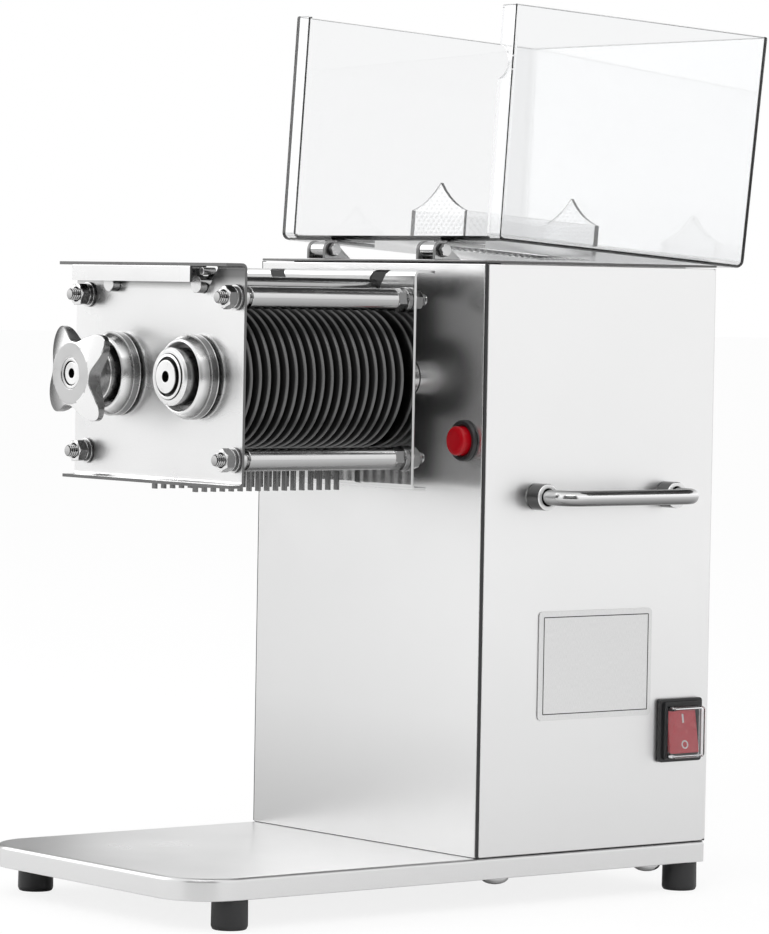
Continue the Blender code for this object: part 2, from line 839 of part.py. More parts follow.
def build_tie_rods():
    collar = FRONT_INNER + GAP
    neck = collar + COLLAR_LENGTH
    tube = neck + NECK_LENGTH
    washer = REAR_INNER - GAP - INNER_WASHER_LENGTH
    inner_nut = washer - INNER_NUT_LENGTH
    rear_nut = REAR_FACE + GAP
    profile = [
        (0, FRONT_FACE - STUD_FRONT_REACH),
        (STUD_RADIUS, FRONT_FACE - STUD_FRONT_REACH),
        (STUD_RADIUS, collar),
        (TUBE_RADIUS, collar),
        (TUBE_RADIUS, neck),
        (NECK_RADIUS, neck),
        (NECK_RADIUS, tube),
        (TUBE_RADIUS, tube),
        (TUBE_RADIUS, washer - JOIN),
        (WASHER_RADIUS, washer - JOIN),
        (WASHER_RADIUS, REAR_INNER - GAP),
        (STUD_RADIUS, REAR_INNER - GAP),
        (STUD_RADIUS, REAR_FACE + STUD_REAR_REACH),
        (0, REAR_FACE + STUD_REAR_REACH),
    ]
    for level, drop in (("upper", TIE_UPPER_DROP), ("lower", TIE_LOWER_DROP)):
        for hand, x in (("left", TIE_LEFT), ("right", TIE_RIGHT)):
            z = CABINET_TOP - drop
            bar = object_from(
                turned(profile, (x, 0, z), 12), f"tie_rod_{level}_{hand}", polished_steel()
            )
            corner = hexagon((x, z), NUT_CORNER_RADIUS)
            nuts = [
                prism(corner, inner_nut, washer, "Y"),
                prism(corner, rear_nut, rear_nut + NUT_LENGTH, "Y"),
            ]
            join(bar, merged(nuts), "nuts")
            build_tie_nut(f"tie_nut_{level}_{hand}", x, z)


def build_tie_nut(name, x, z):
    seat = FRONT_FACE - GAP
    spring = seat - WASHER_LENGTH
    nut = spring - SPRING_WASHER_LENGTH
    washers = [
        (0, seat),
        (WASHER_RADIUS, seat),
        (WASHER_RADIUS, spring),
        (SPRING_WASHER_RADIUS, spring),
        (SPRING_WASHER_RADIUS, nut - JOIN),
        (0, nut - JOIN),
    ]
    stack = object_from(turned(washers, (x, 0, z), 12), name, polished_steel())
    corner = hexagon((x, z), NUT_CORNER_RADIUS)
    join(stack, prism(corner, nut - NUT_LENGTH, nut, "Y"), "nut")
    hole = rod(
        STUD_RADIUS + GAP, nut - NUT_LENGTH - OVERRUN, seat + OVERRUN, (x, 0, z), 12
    )
    cut(stack, hole, "bore")


def build_blade_pack(name, x, count):
    """All the discs and the spacer sleeve between them, turned as one piece."""
    start, end = FRONT_INNER + PACK_END_GAP, REAR_INNER - PACK_END_GAP
    bore = SHAFT_RADIUS + GAP
    profile = [(bore, start), (SPACER_RADIUS, start)]
    for y in blade_places(count):
        profile += [
            (SPACER_RADIUS, y - BLADE_THICKNESS / 2),
            (BLADE_RADIUS, y - BLADE_EDGE / 2),
            (BLADE_RADIUS, y + BLADE_EDGE / 2),
            (SPACER_RADIUS, y + BLADE_THICKNESS / 2),
        ]
    profile += [(SPACER_RADIUS, end), (bore, end)]
    centre = (x, 0, SHAFT_Z)
    object_from(turned(profile, centre, 16), name, blade_steel(), at=centre)


def build_roll_shafts():
    cap_front = LAND_FRONT - GAP - CAP_LENGTH
    right_end = cap_front + SHAFT_END_SET_BACK
    knob_front = LAND_FRONT - GAP - KNOB_HUB_LENGTH - KNOB_RIM_LENGTH - KNOB_CROWN
    left_end = knob_front + SHAFT_END_SET_BACK
    for hand, side, tip, end_radius in (
        ("left", -1, left_end, KNOB_SHAFT_RADIUS - GAP),
        ("right", 1, right_end, SHAFT_END_RADIUS),
    ):
        centre = (side * HALF_SPACING, 0, SHAFT_Z)
        profile = [
            (0, tip + CENTRE_HOLE_DEPTH),
            (CENTRE_HOLE_RADIUS, tip + CENTRE_HOLE_DEPTH),
            (CENTRE_HOLE_RADIUS, tip),
            (end_radius, tip),
            (end_radius, LAND_FRONT),
            (SHAFT_RADIUS, LAND_FRONT),
            (SHAFT_RADIUS, SHAFT_SHOULDER),
            (0, SHAFT_SHOULDER),
        ]
        shaft = object_from(
            turned(profile, centre, 20), f"roll_shaft_{hand}", polished_steel(), at=centre
        )
        half = SPIGOT_SIDE / 2
        x = side * HALF_SPACING
        spigot = box(
            (x - half, SHAFT_SHOULDER - OVERRUN, SHAFT_Z - half),
            (x + half, SHAFT_SHOULDER + SPIGOT_LENGTH, SHAFT_Z + half),
        )
        join(shaft, spigot, "spigot")


def build_front_cups():
    seat = FRONT_FACE - GAP
    flange = seat - CUP_FLANGE_LENGTH
    groove = flange - CUP_GROOVE_LENGTH
    rim = groove - CUP_RIM_LENGTH
    land = SHAFT_RADIUS + RUNNING_GAP
    profile = [
        (land, seat),
        (CUP_FLANGE_RADIUS, seat),
        (CUP_FLANGE_RADIUS, flange),
        (CUP_GROOVE_RADIUS, flange),
        (CUP_GROOVE_RADIUS, groove),
        (CUP_RIM_RADIUS, groove),
        (CUP_RIM_RADIUS, rim + CUP_RIM_ROUND),
        (CUP_RIM_RADIUS - CUP_RIM_ROUND, rim),
        (CUP_BORE_RADIUS, rim),
        (CUP_BORE_RADIUS, LAND_FRONT),
        (land, LAND_FRONT),
    ]
    for hand, side in (("left", -1), ("right", 1)):
        centre = (side * HALF_SPACING, 0, SHAFT_Z)
        object_from(turned(profile, centre, 24), f"front_bearing_cup_{hand}", polished_steel())


def build_rear_cups():
    seat = REAR_FACE + GAP
    land = SHAFT_RADIUS + RUNNING_GAP
    profile = [
        (land, seat),
        (REAR_CUP_RADIUS, seat),
        (REAR_CUP_RADIUS, seat + REAR_CUP_LENGTH),
        (land, seat + REAR_CUP_LENGTH),
    ]
    for hand, side in (("left", -1), ("right", 1)):
        centre = (side * HALF_SPACING, 0, SHAFT_Z)
        object_from(turned(profile, centre, 24), f"rear_bearing_cup_{hand}", polished_steel())


def build_shaft_cap():
    back = LAND_FRONT - GAP
    front = back - CAP_LENGTH
    bore = SHAFT_END_RADIUS + GAP
    profile = [
        (bore, back),
        (CAP_RADIUS, back),
        (CAP_RADIUS, front + CAP_CHAMFER),
        (CAP_RADIUS - CAP_CHAMFER, front),
        (CAP_RECESS_RADIUS, front),
        (CAP_RECESS_RADIUS, front + CAP_RECESS_DEPTH),
        (bore, front + CAP_RECESS_DEPTH),
    ]
    centre = (HALF_SPACING, 0, SHAFT_Z)
    object_from(turned(profile, centre, 24), "shaft_cap_right", polished_steel(), at=centre)


def knob_radius(angle):
    """The star's radius: its lobes narrow to their tips, and the notches between them are round."""
    swing = (1 + math.cos(KNOB_LOBES * (angle - KNOB_TURN))) / 2
    return KNOB_NOTCH_RADIUS + (KNOB_TIP_RADIUS - KNOB_NOTCH_RADIUS) * swing**1.15


def build_star_knob():
    centre = (-HALF_SPACING, 0, SHAFT_Z)
    back = LAND_FRONT - GAP
    star = back - KNOB_HUB_LENGTH
    brow = star - KNOB_RIM_LENGTH
    face = brow - KNOB_CROWN
    bm = bmesh.new()
    angles = [2 * math.pi * number / KNOB_POINTS for number in range(KNOB_POINTS)]

    def ring(radius_at, y):
        return [
            bm.verts.new(
                (
                    centre[0] + radius_at(angle) * math.cos(angle),
                    y,
                    centre[2] + radius_at(angle) * math.sin(angle),
                )
            )
            for angle in angles
        ]

    rings = [
        ring(knob_radius, star),
        ring(knob_radius, brow),
        ring(lambda angle: KNOB_FACE_RADIUS, face),
    ]
    bm.faces.new(rings[0])
    bm.faces.new(rings[-1])
    for near, far in zip(rings, rings[1:]):
        for number in range(KNOB_POINTS):
            after = (number + 1) % KNOB_POINTS
            bm.faces.new([near[number], near[after], far[after], far[number]])
    knob = object_from(bm, "star_knob", polished_steel(), at=centre)
    join(knob, rod(KNOB_HUB_RADIUS, star - JOIN, back, centre, 24), "hub")
    hole = [
        (0, back + OVERRUN),
        (KNOB_SHAFT_RADIUS, back + OVERRUN),
        (KNOB_SHAFT_RADIUS, face + KNOB_RECESS_DEPTH),
        (KNOB_RECESS_RADIUS, face + KNOB_RECESS_DEPTH),
        (KNOB_RECESS_RADIUS, face - OVERRUN),
        (0, face - OVERRUN),
    ]
    return cut(knob, turned(hole, centre, 20), "bore")


def tine_outline(side):
    """One tine, from inside its rod, over the shoulder and down past the spacer."""
    half = TINE_WIDTH / 2
    foot = CABINET_TOP - TINE_DROP
    knee = SHAFT_Z + TINE_KNEE_RISE
    shoulder = SHAFT_Z + TINE_SHOULDER_RISE
    points = [
        (TINE_OFFSET - half, foot),
        (TINE_OFFSET + half, foot),
        (TINE_OFFSET + half, knee),
        (TINE_SHOULDER_OFFSET + half, shoulder - half),
        (COMB_ROD_OFFSET + half, COMB_ROD_Z - half),
        (COMB_ROD_OFFSET - half, COMB_ROD_Z + half),
        (TINE_SHOULDER_OFFSET - half, shoulder + half),
        (TINE_OFFSET - half, knee + half),
    ]
    return [(side * x, z) for x, z in points]


def build_combs():
    for hand, side, count in (
        ("left", -1, BLADES_LEFT - 1),
        ("right", 1, BLADES_RIGHT - 1),
    ):
        centre = (side * COMB_ROD_OFFSET, 0, COMB_ROD_Z)
        start = FRONT_FACE - COMB_ROD_FRONT_REACH
        end = REAR_FACE + COMB_ROD_REAR_REACH
        comb = object_from(
            rod(COMB_ROD_RADIUS, start, end, centre, 14), f"comb_{hand}", polished_steel()
        )
        half = TINE_THICKNESS / 2
        tines = [
            prism(tine_outline(side), y - half, y + half, "Y") for y in blade_places(count)
        ]
        join(comb, merged(tines), "tines")
        up = Vector((side * math.sin(SLOT_TILT), 0, math.cos(SLOT_TILT)))
        pin_centre = Vector(centre) + up * COMB_PIN_SPACING
        tab_start = FRONT_INNER + PACK_END_GAP
        tab_end = tab_start + COMB_TAB_LENGTH
        across = Vector((up.z, 0, -up.x)) * COMB_PIN_RADIUS
        tab = [
            Vector(centre) + across,
            pin_centre + across,
            pin_centre - across,
            Vector(centre) - across,
        ]
        outline = [(point.x, point.z) for point in tab]
        join(comb, prism(outline, tab_start, tab_end, "Y"), "tab")
        join(comb, rod(COMB_PIN_RADIUS, start, tab_end - JOIN, pin_centre, 10), "pin")


# Hinge


def build_hinges():
    sole = CABINET_TOP + GAP
    back = HINGE_Y + GUSSET_REACH
    half_turn = math.radians(180)
    crown = arc((HINGE_Y, HINGE_Z), EAR_RADIUS, half_turn, math.radians(50), 6)
    ear = [(HINGE_Y - EAR_RADIUS, sole)] + crown + [(back, sole)]
    for hand, middle in (("left", -HINGE_OFFSET), ("right", HINGE_OFFSET)):
        outer = HINGE_HALF_WIDTH
        inner = outer - EAR_THICKNESS
        bracket = object_from(
            prism(ear, middle - outer, middle + outer, "X"),
            f"hinge_bracket_{hand}",
            brushed_steel(),
        )
        # No sole in front, where the barrel and the shut guard's leaf come down.
        top, front = HINGE_Z + 2 * EAR_RADIUS, HINGE_Y - 2 * EAR_RADIUS
        step = HINGE_Y + BRACKET_SOLE_START
        throat = [
            (front, sole - OVERRUN),
            (step, sole - OVERRUN),
            (step, sole + BRACKET_SOLE),
            (back + OVERRUN, sole + BRACKET_SOLE),
            (back + OVERRUN, top),
            (front, top),
        ]
        cut(bracket, prism(throat, middle - inner, middle + inner, "X"), "throat")
        centre = (middle, HINGE_Y, HINGE_Z)
        washer = outer + PIN_WASHER_LENGTH
        pin = [
            (0, -outer - PIN_WASHER_LENGTH),
            (PIN_WASHER_RADIUS, -outer - PIN_WASHER_LENGTH),
            (PIN_WASHER_RADIUS, -outer + JOIN),
            (PIN_RADIUS, -outer + JOIN),
            (PIN_RADIUS, outer - JOIN),
            (PIN_WASHER_RADIUS, outer - JOIN),
            (PIN_WASHER_RADIUS, washer),
            (0, washer),
        ]
        join(bracket, turned(pin, centre, 12, "X"), "pin")
        head = prism(
            hexagon((HINGE_Y, HINGE_Z), PIN_HEAD_CORNER_RADIUS),
            middle + washer - JOIN,
            middle + washer + PIN_HEAD_LENGTH,
            "X",
        )
        join(bracket, head, "head")


def guard_place():
    """From the guard's own directions, with its axis at zero, to where it rests."""
    return Matrix.Translation((0, HINGE_Y, HINGE_Z)) @ Matrix.Rotation(-REST_TILT, 4, "X")


def build_barrels():
    for hand, middle in (("left", -HINGE_OFFSET), ("right", HINGE_OFFSET)):
        half = HINGE_HALF_WIDTH - EAR_THICKNESS - GAP
        centre = (middle, 0, 0)
        barrel = object_from(
            rod(BARREL_RADIUS, -half, half, centre, 16, "X"),
            f"hinge_barrel_{hand}",
            brushed_steel(),
        )
        top = PANEL_LIFT - GAP
        low = top - LEAF_THICKNESS
        end = PANEL_SETBACK + LEAF_LENGTH
        # The leaf's neck is lower than the rest, as the shut guard lays it over the cabinet's edge.
        section = [
            (0, 0),
            (LEAF_NECK_LENGTH, low),
            (end, low),
            (end, top),
            (LEAF_NECK_LENGTH, top),
            (LEAF_NECK_LENGTH, LEAF_NECK_LIFT),
            (0, LEAF_NECK_LIFT),
        ]
        join(barrel, prism(section, middle - half, middle + half, "X"), "leaf")
        cut(barrel, rod(BARREL_BORE_RADIUS, -2 * half, 2 * half, centre, 12, "X"), "bore")
        barrel.matrix_world = guard_place()


# Guard


def guard_block(inset, floor, over):
    """The guard's outside for no inset, and its hollow for the wall's thickness."""
    low = PANEL_LIFT + floor
    high = PANEL_LIFT + GUARD_HEIGHT + over
    near = PANEL_SETBACK + inset
    far = PANEL_SETBACK + GUARD_LENGTH - inset
    half = GUARD_WIDTH / 2 - inset
    front = half + GUARD_FRONT_FLARE
    rear = half + GUARD_REAR_FLARE
    lean = far + GUARD_LEAN
    top = high + GUARD_REAR_RISE
    return block(
        [
            (-half, near, low),
            (half, near, low),
            (half, far, low),
            (-half, far, low),
            (-front, near, high),
            (front, near, high),
            (rear, lean, top),
            (-rear, lean, top),
        ]
    )


def build_guard():
    guard = object_from(guard_block(0, 0, 0), "guard_cover", clear_plastic(), smooth=False)
    cut(guard, guard_block(GUARD_WALL, GUARD_WALL, OVERRUN), "hollow")
    mouth = GUARD_WIDTH / 2 - GUARD_LIP
    floor = PANEL_LIFT + GUARD_WALL
    cut(
        guard,
        box(
            (-mouth, PANEL_SETBACK - OVERRUN, floor),
            (mouth, PANEL_SETBACK + 2 * GUARD_WALL, PANEL_LIFT + GUARD_HEIGHT + OVERRUN),
        ),
        "mouth",
    )
    half = CHUTE_WIDTH / 2 + GAP
    cut(
        guard,
        box(
            (-half, PANEL_SETBACK + CHUTE_START - GAP, PANEL_LIFT - OVERRUN),
            (half, PANEL_SETBACK + CHUTE_END + GAP, floor + OVERRUN),
        ),
        "chute_hole",
    )
    # With the guard shut, its right-hand lip passes in front of the push button.
    bite = BUTTON_RADIUS + NOTCH_CLEARANCE
    level = HINGE_Z - BUTTON_Z
    cut(
        guard,
        rod(
            bite,
            PANEL_SETBACK - OVERRUN,
            PANEL_SETBACK + GUARD_WALL + JOIN,
            (BUTTON_X, 0, level),
            16,
        ),
        "notch",
    )
    guard.matrix_world = guard_place()


def cusp_outline():
    """The chute's end wall: it follows both rolls at one distance, and so ends in a point."""
    half = CHUTE_WIDTH / 2
    axis = HINGE_Z - SHAFT_Z
    radius = BLADE_RADIUS + CHUTE_BLADE_CLEARANCE
    steps = [half * number / CUSP_POINTS for number in range(CUSP_POINTS + 1)]

    def level(x):
        return axis - math.sqrt(radius**2 - (HALF_SPACING - x) ** 2)

    right = [(x, level(x)) for x in reversed(steps)]
    left = [(-x, level(x)) for x in steps[1:]]
    return [(-half, PANEL_LIFT), (half, PANEL_LIFT)] + right + left


def build_chute():
    half = CHUTE_WIDTH / 2
    shoulder = cusp_outline()[2][1]
    near, far = PANEL_SETBACK + CHUTE_START, PANEL_SETBACK + CHUTE_END
    chute = object_from(
        prism(cusp_outline(), near, far, "Y"), "feed_chute", clear_plastic(), smooth=False
    )
    middle = box(
        (-half - OVERRUN, near + CHUTE_WALL, shoulder),
        (half + OVERRUN, far - CHUTE_WALL, PANEL_LIFT + GUARD_HEIGHT),
    )
    cut(chute, middle, "shoulder")
    through = box(
        (-half + CHUTE_WALL, near + CHUTE_WALL, PANEL_LIFT - OVERRUN),
        (half - CHUTE_WALL, far - CHUTE_WALL, PANEL_LIFT + GUARD_HEIGHT),
    )
    cut(chute, through, "way")
    chute.matrix_world = guard_place()


# Controls and handles


def build_push_button():
    seat = FRONT - GAP
    face = seat - BEZEL_PROUD
    well = BUTTON_RADIUS + GAP
    floor = FRONT + BUTTON_INNER + BUTTON_TRAVEL + GAP
    body_end = FRONT + BUTTON_BODY_LENGTH
    centre = (BUTTON_X, 0, BUTTON_Z)
    bezel = [
        (0, floor),
        (well, floor),
        (well, face),
        (BEZEL_RADIUS - BEZEL_CHAMFER, face),
        (BEZEL_RADIUS, face + BEZEL_CHAMFER),
        (BEZEL_RADIUS, seat),
        (BUTTON_BODY_RADIUS, seat),
        (BUTTON_BODY_RADIUS, body_end),
        (0, body_end),
    ]
    object_from(turned(bezel, centre, 24), "button_bezel", black_plastic())
    front = FRONT - BUTTON_PROUD
    cap = [
        (0, front),
        (BUTTON_RADIUS - BUTTON_ROUND, front),
        (BUTTON_RADIUS, front + BUTTON_ROUND),
        (BUTTON_RADIUS, FRONT + BUTTON_INNER),
        (0, FRONT + BUTTON_INNER),
    ]
    object_from(turned(cap, centre, 24), "button_cap", red_plastic(), at=centre)


def build_switch():
    y, z = switch_middle()
    seat = HALF_WIDTH + GAP
    front = seat + SWITCH_PROUD
    well_y = ROCKER_WIDTH / 2 + ROCKER_WELL_GAP
    well_z = ROCKER_HEIGHT / 2 + ROCKER_WELL_GAP
    floor = HALF_WIDTH - SWITCH_BODY_DEPTH + SWITCH_FLOOR
    bezel = object_from(
        box(
            (seat, y - SWITCH_WIDTH / 2, z - SWITCH_HEIGHT / 2),
            (front, y + SWITCH_WIDTH / 2, z + SWITCH_HEIGHT / 2),
        ),
        "switch_bezel",
        black_plastic(),
        smooth=False,
    )
    shell = SWITCH_FLOOR
    body = box(
        (HALF_WIDTH - SWITCH_BODY_DEPTH, y - well_y - shell, z - well_z - shell),
        (seat + JOIN, y + well_y + shell, z + well_z + shell),
    )
    join(bezel, body, "body")
    well = box((floor, y - well_y, z - well_z), (front + OVERRUN, y + well_y, z + well_z))
    cut(bezel, well, "well")

    axis = (front - ROCKER_AXIS_DEPTH, y, z)
    half_y, half_z = ROCKER_WIDTH / 2, ROCKER_HEIGHT / 2
    drop = half_z * math.tan(ROCKER_TILT)
    face = front + ROCKER_RISE
    section = [
        (front - ROCKER_DEPTH, z - half_z / 2),
        (front - ROCKER_DEPTH, z + half_z / 2),
        (face - 2 * drop, z + half_z),
        (face - drop, z),
        (face, z - half_z),
    ]
    bm = prism(section, y - half_y, y + half_y, "Y")
    rocker = object_from(bm, "switch_rocker", red_plastic(), at=axis, smooth=False)
    pin = rod(ROCKER_PIN_RADIUS, y - well_y + GAP, y + well_y - GAP, (axis[0], 0, z), 10)
    join(rocker, pin, "pin")

    half_y, half_z = BOOT_WIDTH / 2, BOOT_HEIGHT / 2
    boot_seat = front + GAP
    boot = object_from(
        box(
            (boot_seat, y - half_y, z - half_z),
            (boot_seat + BOOT_PROUD, y + half_y, z + half_z),
        ),
        "switch_boot",
        clear_plastic(),
        smooth=False,
    )
    wall = BOOT_WALL
    inside = box(
        (boot_seat - OVERRUN, y - half_y + wall, z - half_z + wall),
        (boot_seat + BOOT_PROUD - wall, y + half_y - wall, z + half_z - wall),
    )
    cut(boot, inside, "inside")


def build_label():
    low = FRONT + LABEL_FRONT_INSET
    seat = HALF_WIDTH + GAP
    bottom = TRAY_TOP + LABEL_LIFT
    object_from(
        box(
            (seat, low, bottom),
            (seat + LABEL_THICKNESS, low + LABEL_WIDTH, bottom + LABEL_HEIGHT),
        ),
        "blank_plate",
        brushed_steel(),
        smooth=False,
    )


def tube_bmesh(points, radius):
    curve = bpy.data.curves.new("tube", "CURVE")
    curve.dimensions = "3D"
    curve.bevel_depth = radius
    curve.bevel_resolution = 2
    curve.use_fill_caps = True
    spline = curve.splines.new("POLY")
    spline.points.add(len(points) - 1)
    for target, point in zip(spline.points, points):
        target.co = (*point, 1)
    carrier = bpy.data.objects.new("tube", curve)
    bpy.context.scene.collection.objects.link(carrier)
    bpy.context.view_layer.update()
    graph = bpy.context.evaluated_depsgraph_get()
    mesh = bpy.data.meshes.new_from_object(carrier.evaluated_get(graph))
    bm = bmesh.new()
    bm.from_mesh(mesh)
    bmesh.ops.remove_doubles(bm, verts=bm.verts[:], dist=1e-6)
    bpy.data.objects.remove(carrier, do_unlink=True)
    bpy.data.curves.remove(curve)
    bpy.data.meshes.remove(mesh)
    return bm


def build_handles():
    z = TRAY_TOP + HANDLE_LIFT
    near, far = handle_places()
    for hand, side in (("left", -1), ("right", 1)):
        seat = HALF_WIDTH + GAP
        boss_end = seat + HANDLE_BOSS_LENGTH
        out = HALF_WIDTH + HANDLE_STAND_OFF
        bend = HANDLE_BEND_RADIUS
        quarter = math.radians(90)
        first = arc((out - bend, near + bend), bend, -quarter, 0, HANDLE_BEND_STEPS)
        second = arc((out - bend, far - bend), bend, 0, quarter, HANDLE_BEND_STEPS)
        path = [(boss_end - OVERRUN, near)] + first + second + [(boss_end - OVERRUN, far)]
        points = [(side * x, y, z) for x, y in path]
        handle = object_from(
            tube_bmesh(points, HANDLE_BAR_RADIUS), f"handle_{hand}", polished_steel()
        )
        stub = HALF_WIDTH - HANDLE_STUB_LENGTH
        profile = [
            (0, side * stub),
            (HANDLE_STUB_RADIUS, side * stub),
            (HANDLE_STUB_RADIUS, side * seat),
            (HANDLE_BOSS_RADIUS, side * seat),
            (HANDLE_BOSS_RADIUS, side * boss_end),
            (0, side * boss_end),
        ]
        bosses = [turned(profile, (0, y, z), 18, "X") for y in (near, far)]
        join(handle, merged(bosses), "bosses")


# Drive


def involute(radius, base):
    angle = math.acos(min(1.0, base / radius))
    return math.tan(angle) - angle


def gear_outline(teeth, centre, turn):
    """A spur gear's outline: each tooth's flanks are chords of its involute."""
    pitch = GEAR_MODULE * teeth / 2
    base = pitch * math.cos(PRESSURE_ANGLE)
    tip = pitch + GEAR_MODULE
    root = pitch - GEAR_ROOT_FACTOR * GEAR_MODULE
    half_tooth = math.pi / (2 * teeth) - GEAR_BACKLASH / (2 * pitch)
    levels = [max(base, root), pitch, tip]
    flank = [
        (radius, half_tooth + involute(pitch, base) - involute(radius, base))
        for radius in levels
    ]
    if root < base:
        flank.insert(0, (root, flank[0][1]))
    points = []
    for tooth in range(teeth):
        middle = turn + 2 * math.pi * tooth / teeth
        rising = [(radius, middle - spread) for radius, spread in flank]
        falling = [(radius, middle + spread) for radius, spread in reversed(flank)]
        for radius, angle in rising + falling:
            points.append(
                (centre[0] + radius * math.cos(angle), centre[1] + radius * math.sin(angle))
            )
    return points


def build_gears():
    half_pitch = math.pi / OUTPUT_TEETH
    for hand, side, turn in (("left", -1, 0), ("right", 1, half_pitch)):
        centre = (side * HALF_SPACING, 0, SHAFT_Z)
        outline = gear_outline(OUTPUT_TEETH, (centre[0], centre[2]), turn)
        gear = object_from(
            prism(outline, GEARS_FRONT, GEARS_FRONT + GEAR_WIDTH, "Y"),
            f"output_gear_{hand}",
            brushed_steel(),
            at=centre,
            smooth=False,
        )
        bore = rod(
            SHAFT_RADIUS + GAP,
            GEARS_FRONT - OVERRUN,
            GEARS_FRONT + GEAR_WIDTH + OVERRUN,
            centre,
            20,
        )
        cut(gear, bore, "bore")


def build_output_shafts():
    end = BOX_REAR + GEARBOX_PLATE + OUTPUT_REAR_REACH
    collar = BOX_REAR - COLLAR_GAP
    collar_start = GEARS_FRONT + GEAR_WIDTH + GAP
    profile = [
        (0, OUTPUT_FRONT),
        (SHAFT_RADIUS, OUTPUT_FRONT),
        (SHAFT_RADIUS, collar_start),
        (COLLAR_RADIUS, collar_start),
        (COLLAR_RADIUS, collar),
        (SHAFT_RADIUS, collar),
        (SHAFT_RADIUS, end),
        (0, end),
    ]
    half = SOCKET_SIDE / 2
    for hand, side in (("left", -1), ("right", 1)):
        x = side * HALF_SPACING
        centre = (x, 0, SHAFT_Z)
        shaft = object_from(
            turned(profile, centre, 20), f"output_shaft_{hand}", polished_steel(), at=centre
        )
        socket = box(
            (x - half, OUTPUT_FRONT - OVERRUN, SHAFT_Z - half),
            (x + half, OUTPUT_FRONT + SOCKET_DEPTH, SHAFT_Z + half),
        )
        cut(shaft, socket, "socket")


def box_plate(name, start, end):
    low, high = SHAFT_Z - GEARBOX_DROP, SHAFT_Z + GEARBOX_RISE
    plate = object_from(
        box((-GEARBOX_HALF_WIDTH, start, low), (GEARBOX_HALF_WIDTH, end, high)),
        name,
        cast_aluminium(),
        smooth=False,
    )
    tools = [
        rod(
            SHAFT_RADIUS + RUNNING_GAP,
            start - OVERRUN,
            end + OVERRUN,
            (side * HALF_SPACING, 0, SHAFT_Z),
            20,
        )
        for side in (-1, 1)
    ]
    centre = (LAYSHAFT_X, 0, LAYSHAFT_Z)
    tools.append(
        rod(LAYSHAFT_RADIUS + RUNNING_GAP, start - OVERRUN, end + OVERRUN, centre, 16)
    )
    return cut(plate, merged(tools), "bores")


def build_gearbox():
    front = box_plate("gearbox_front_plate", BOX_FRONT, BOX_FRONT + GEARBOX_PLATE)
    # In a narrower cabinet the push button's body passes through the front plate.
    relief = rod(
        BUTTON_BODY_RADIUS + RUNNING_GAP,
        BOX_FRONT - OVERRUN,
        BOX_FRONT + GEARBOX_PLATE + OVERRUN,
        (BUTTON_X, 0, BUTTON_Z),
        20,
    )
    cut(front, relief, "relief")
    rear = box_plate("gearbox_rear_plate", BOX_REAR, BOX_REAR + GEARBOX_PLATE)
    x = GEARBOX_HALF_WIDTH - PILLAR_INSET
    low = SHAFT_Z - GEARBOX_DROP + PILLAR_INSET
    high = SHAFT_Z + GEARBOX_RISE - PILLAR_INSET
    start = BOX_FRONT + GEARBOX_PLATE + GAP
    pillars = [
        rod(PILLAR_RADIUS, start, BOX_REAR + JOIN, (side * x, 0, z), 12)
        for side in (-1, 1)
        for z in (low, high)
    ]
    join(rear, merged(pillars), "pillars")


def build_pinion_shaft():
    centre = (LAYSHAFT_X, 0, LAYSHAFT_Z)
    start = BOX_FRONT + COLLAR_GAP
    end = PULLEY_FRONT + PULLEY_WIDTH + OUTPUT_REAR_REACH
    shaft = object_from(
        rod(LAYSHAFT_RADIUS, start, end, centre, 16), "pinion_shaft", polished_steel(), at=centre
    )
    half_pitch = math.pi / PINION_TEETH
    turn = math.radians(90) % (2 * half_pitch)
    outline = gear_outline(PINION_TEETH, (centre[0], centre[2]), turn)
    join(shaft, prism(outline, GEARS_FRONT, GEARS_FRONT + GEAR_WIDTH, "Y"), "teeth")


def pulley(name, centre, radius, bore, stuff):
    half = PULLEY_WIDTH / 2
    shoulder = half - PULLEY_FLANGE
    root = radius - PULLEY_GROOVE
    y = PULLEY_MIDDLE
    throat = BELT_BOTTOM_WIDTH / 2
    profile = [
        (bore, y - half),
        (radius, y - half),
        (radius, y - shoulder),
        (root, y - throat),
        (root, y + throat),
        (radius, y + shoulder),
        (radius, y + half),
        (bore, y + half),
    ]
    object_from(turned(profile, centre, 20), name, stuff, at=centre)


def build_pulleys():
    pulley(
        "driven_pulley",
        (LAYSHAFT_X, 0, LAYSHAFT_Z),
        DRIVEN_RADIUS,
        LAYSHAFT_RADIUS + GAP,
        cast_aluminium(),
    )
    pulley(
        "motor_pulley",
        (MOTOR_OFFSET, 0, MOTOR_Z),
        DRIVER_RADIUS,
        MOTOR_SHAFT_RADIUS + GAP,
        cast_aluminium(),
    )


def belt_loop(depth):
    """A round of points at one depth of the belt: two arcs, joined by the straight runs."""
    upper = Vector((LAYSHAFT_X, LAYSHAFT_Z))
    lower = Vector((MOTOR_OFFSET, MOTOR_Z))
    run = upper - lower
    lean = math.atan2(run.y, run.x)
    spread = math.acos((DRIVEN_RADIUS - DRIVER_RADIUS) / run.length)
    sunk = PULLEY_GROOVE - BELT_ROOT_GAP - depth
    left, right = lean + math.pi - spread, lean - math.pi + spread
    big = arc(upper, DRIVEN_RADIUS - sunk, right, left, BELT_STEPS)
    small = arc(lower, DRIVER_RADIUS - sunk, left, right + 2 * math.pi, BELT_STEPS // 2)
    return big + small


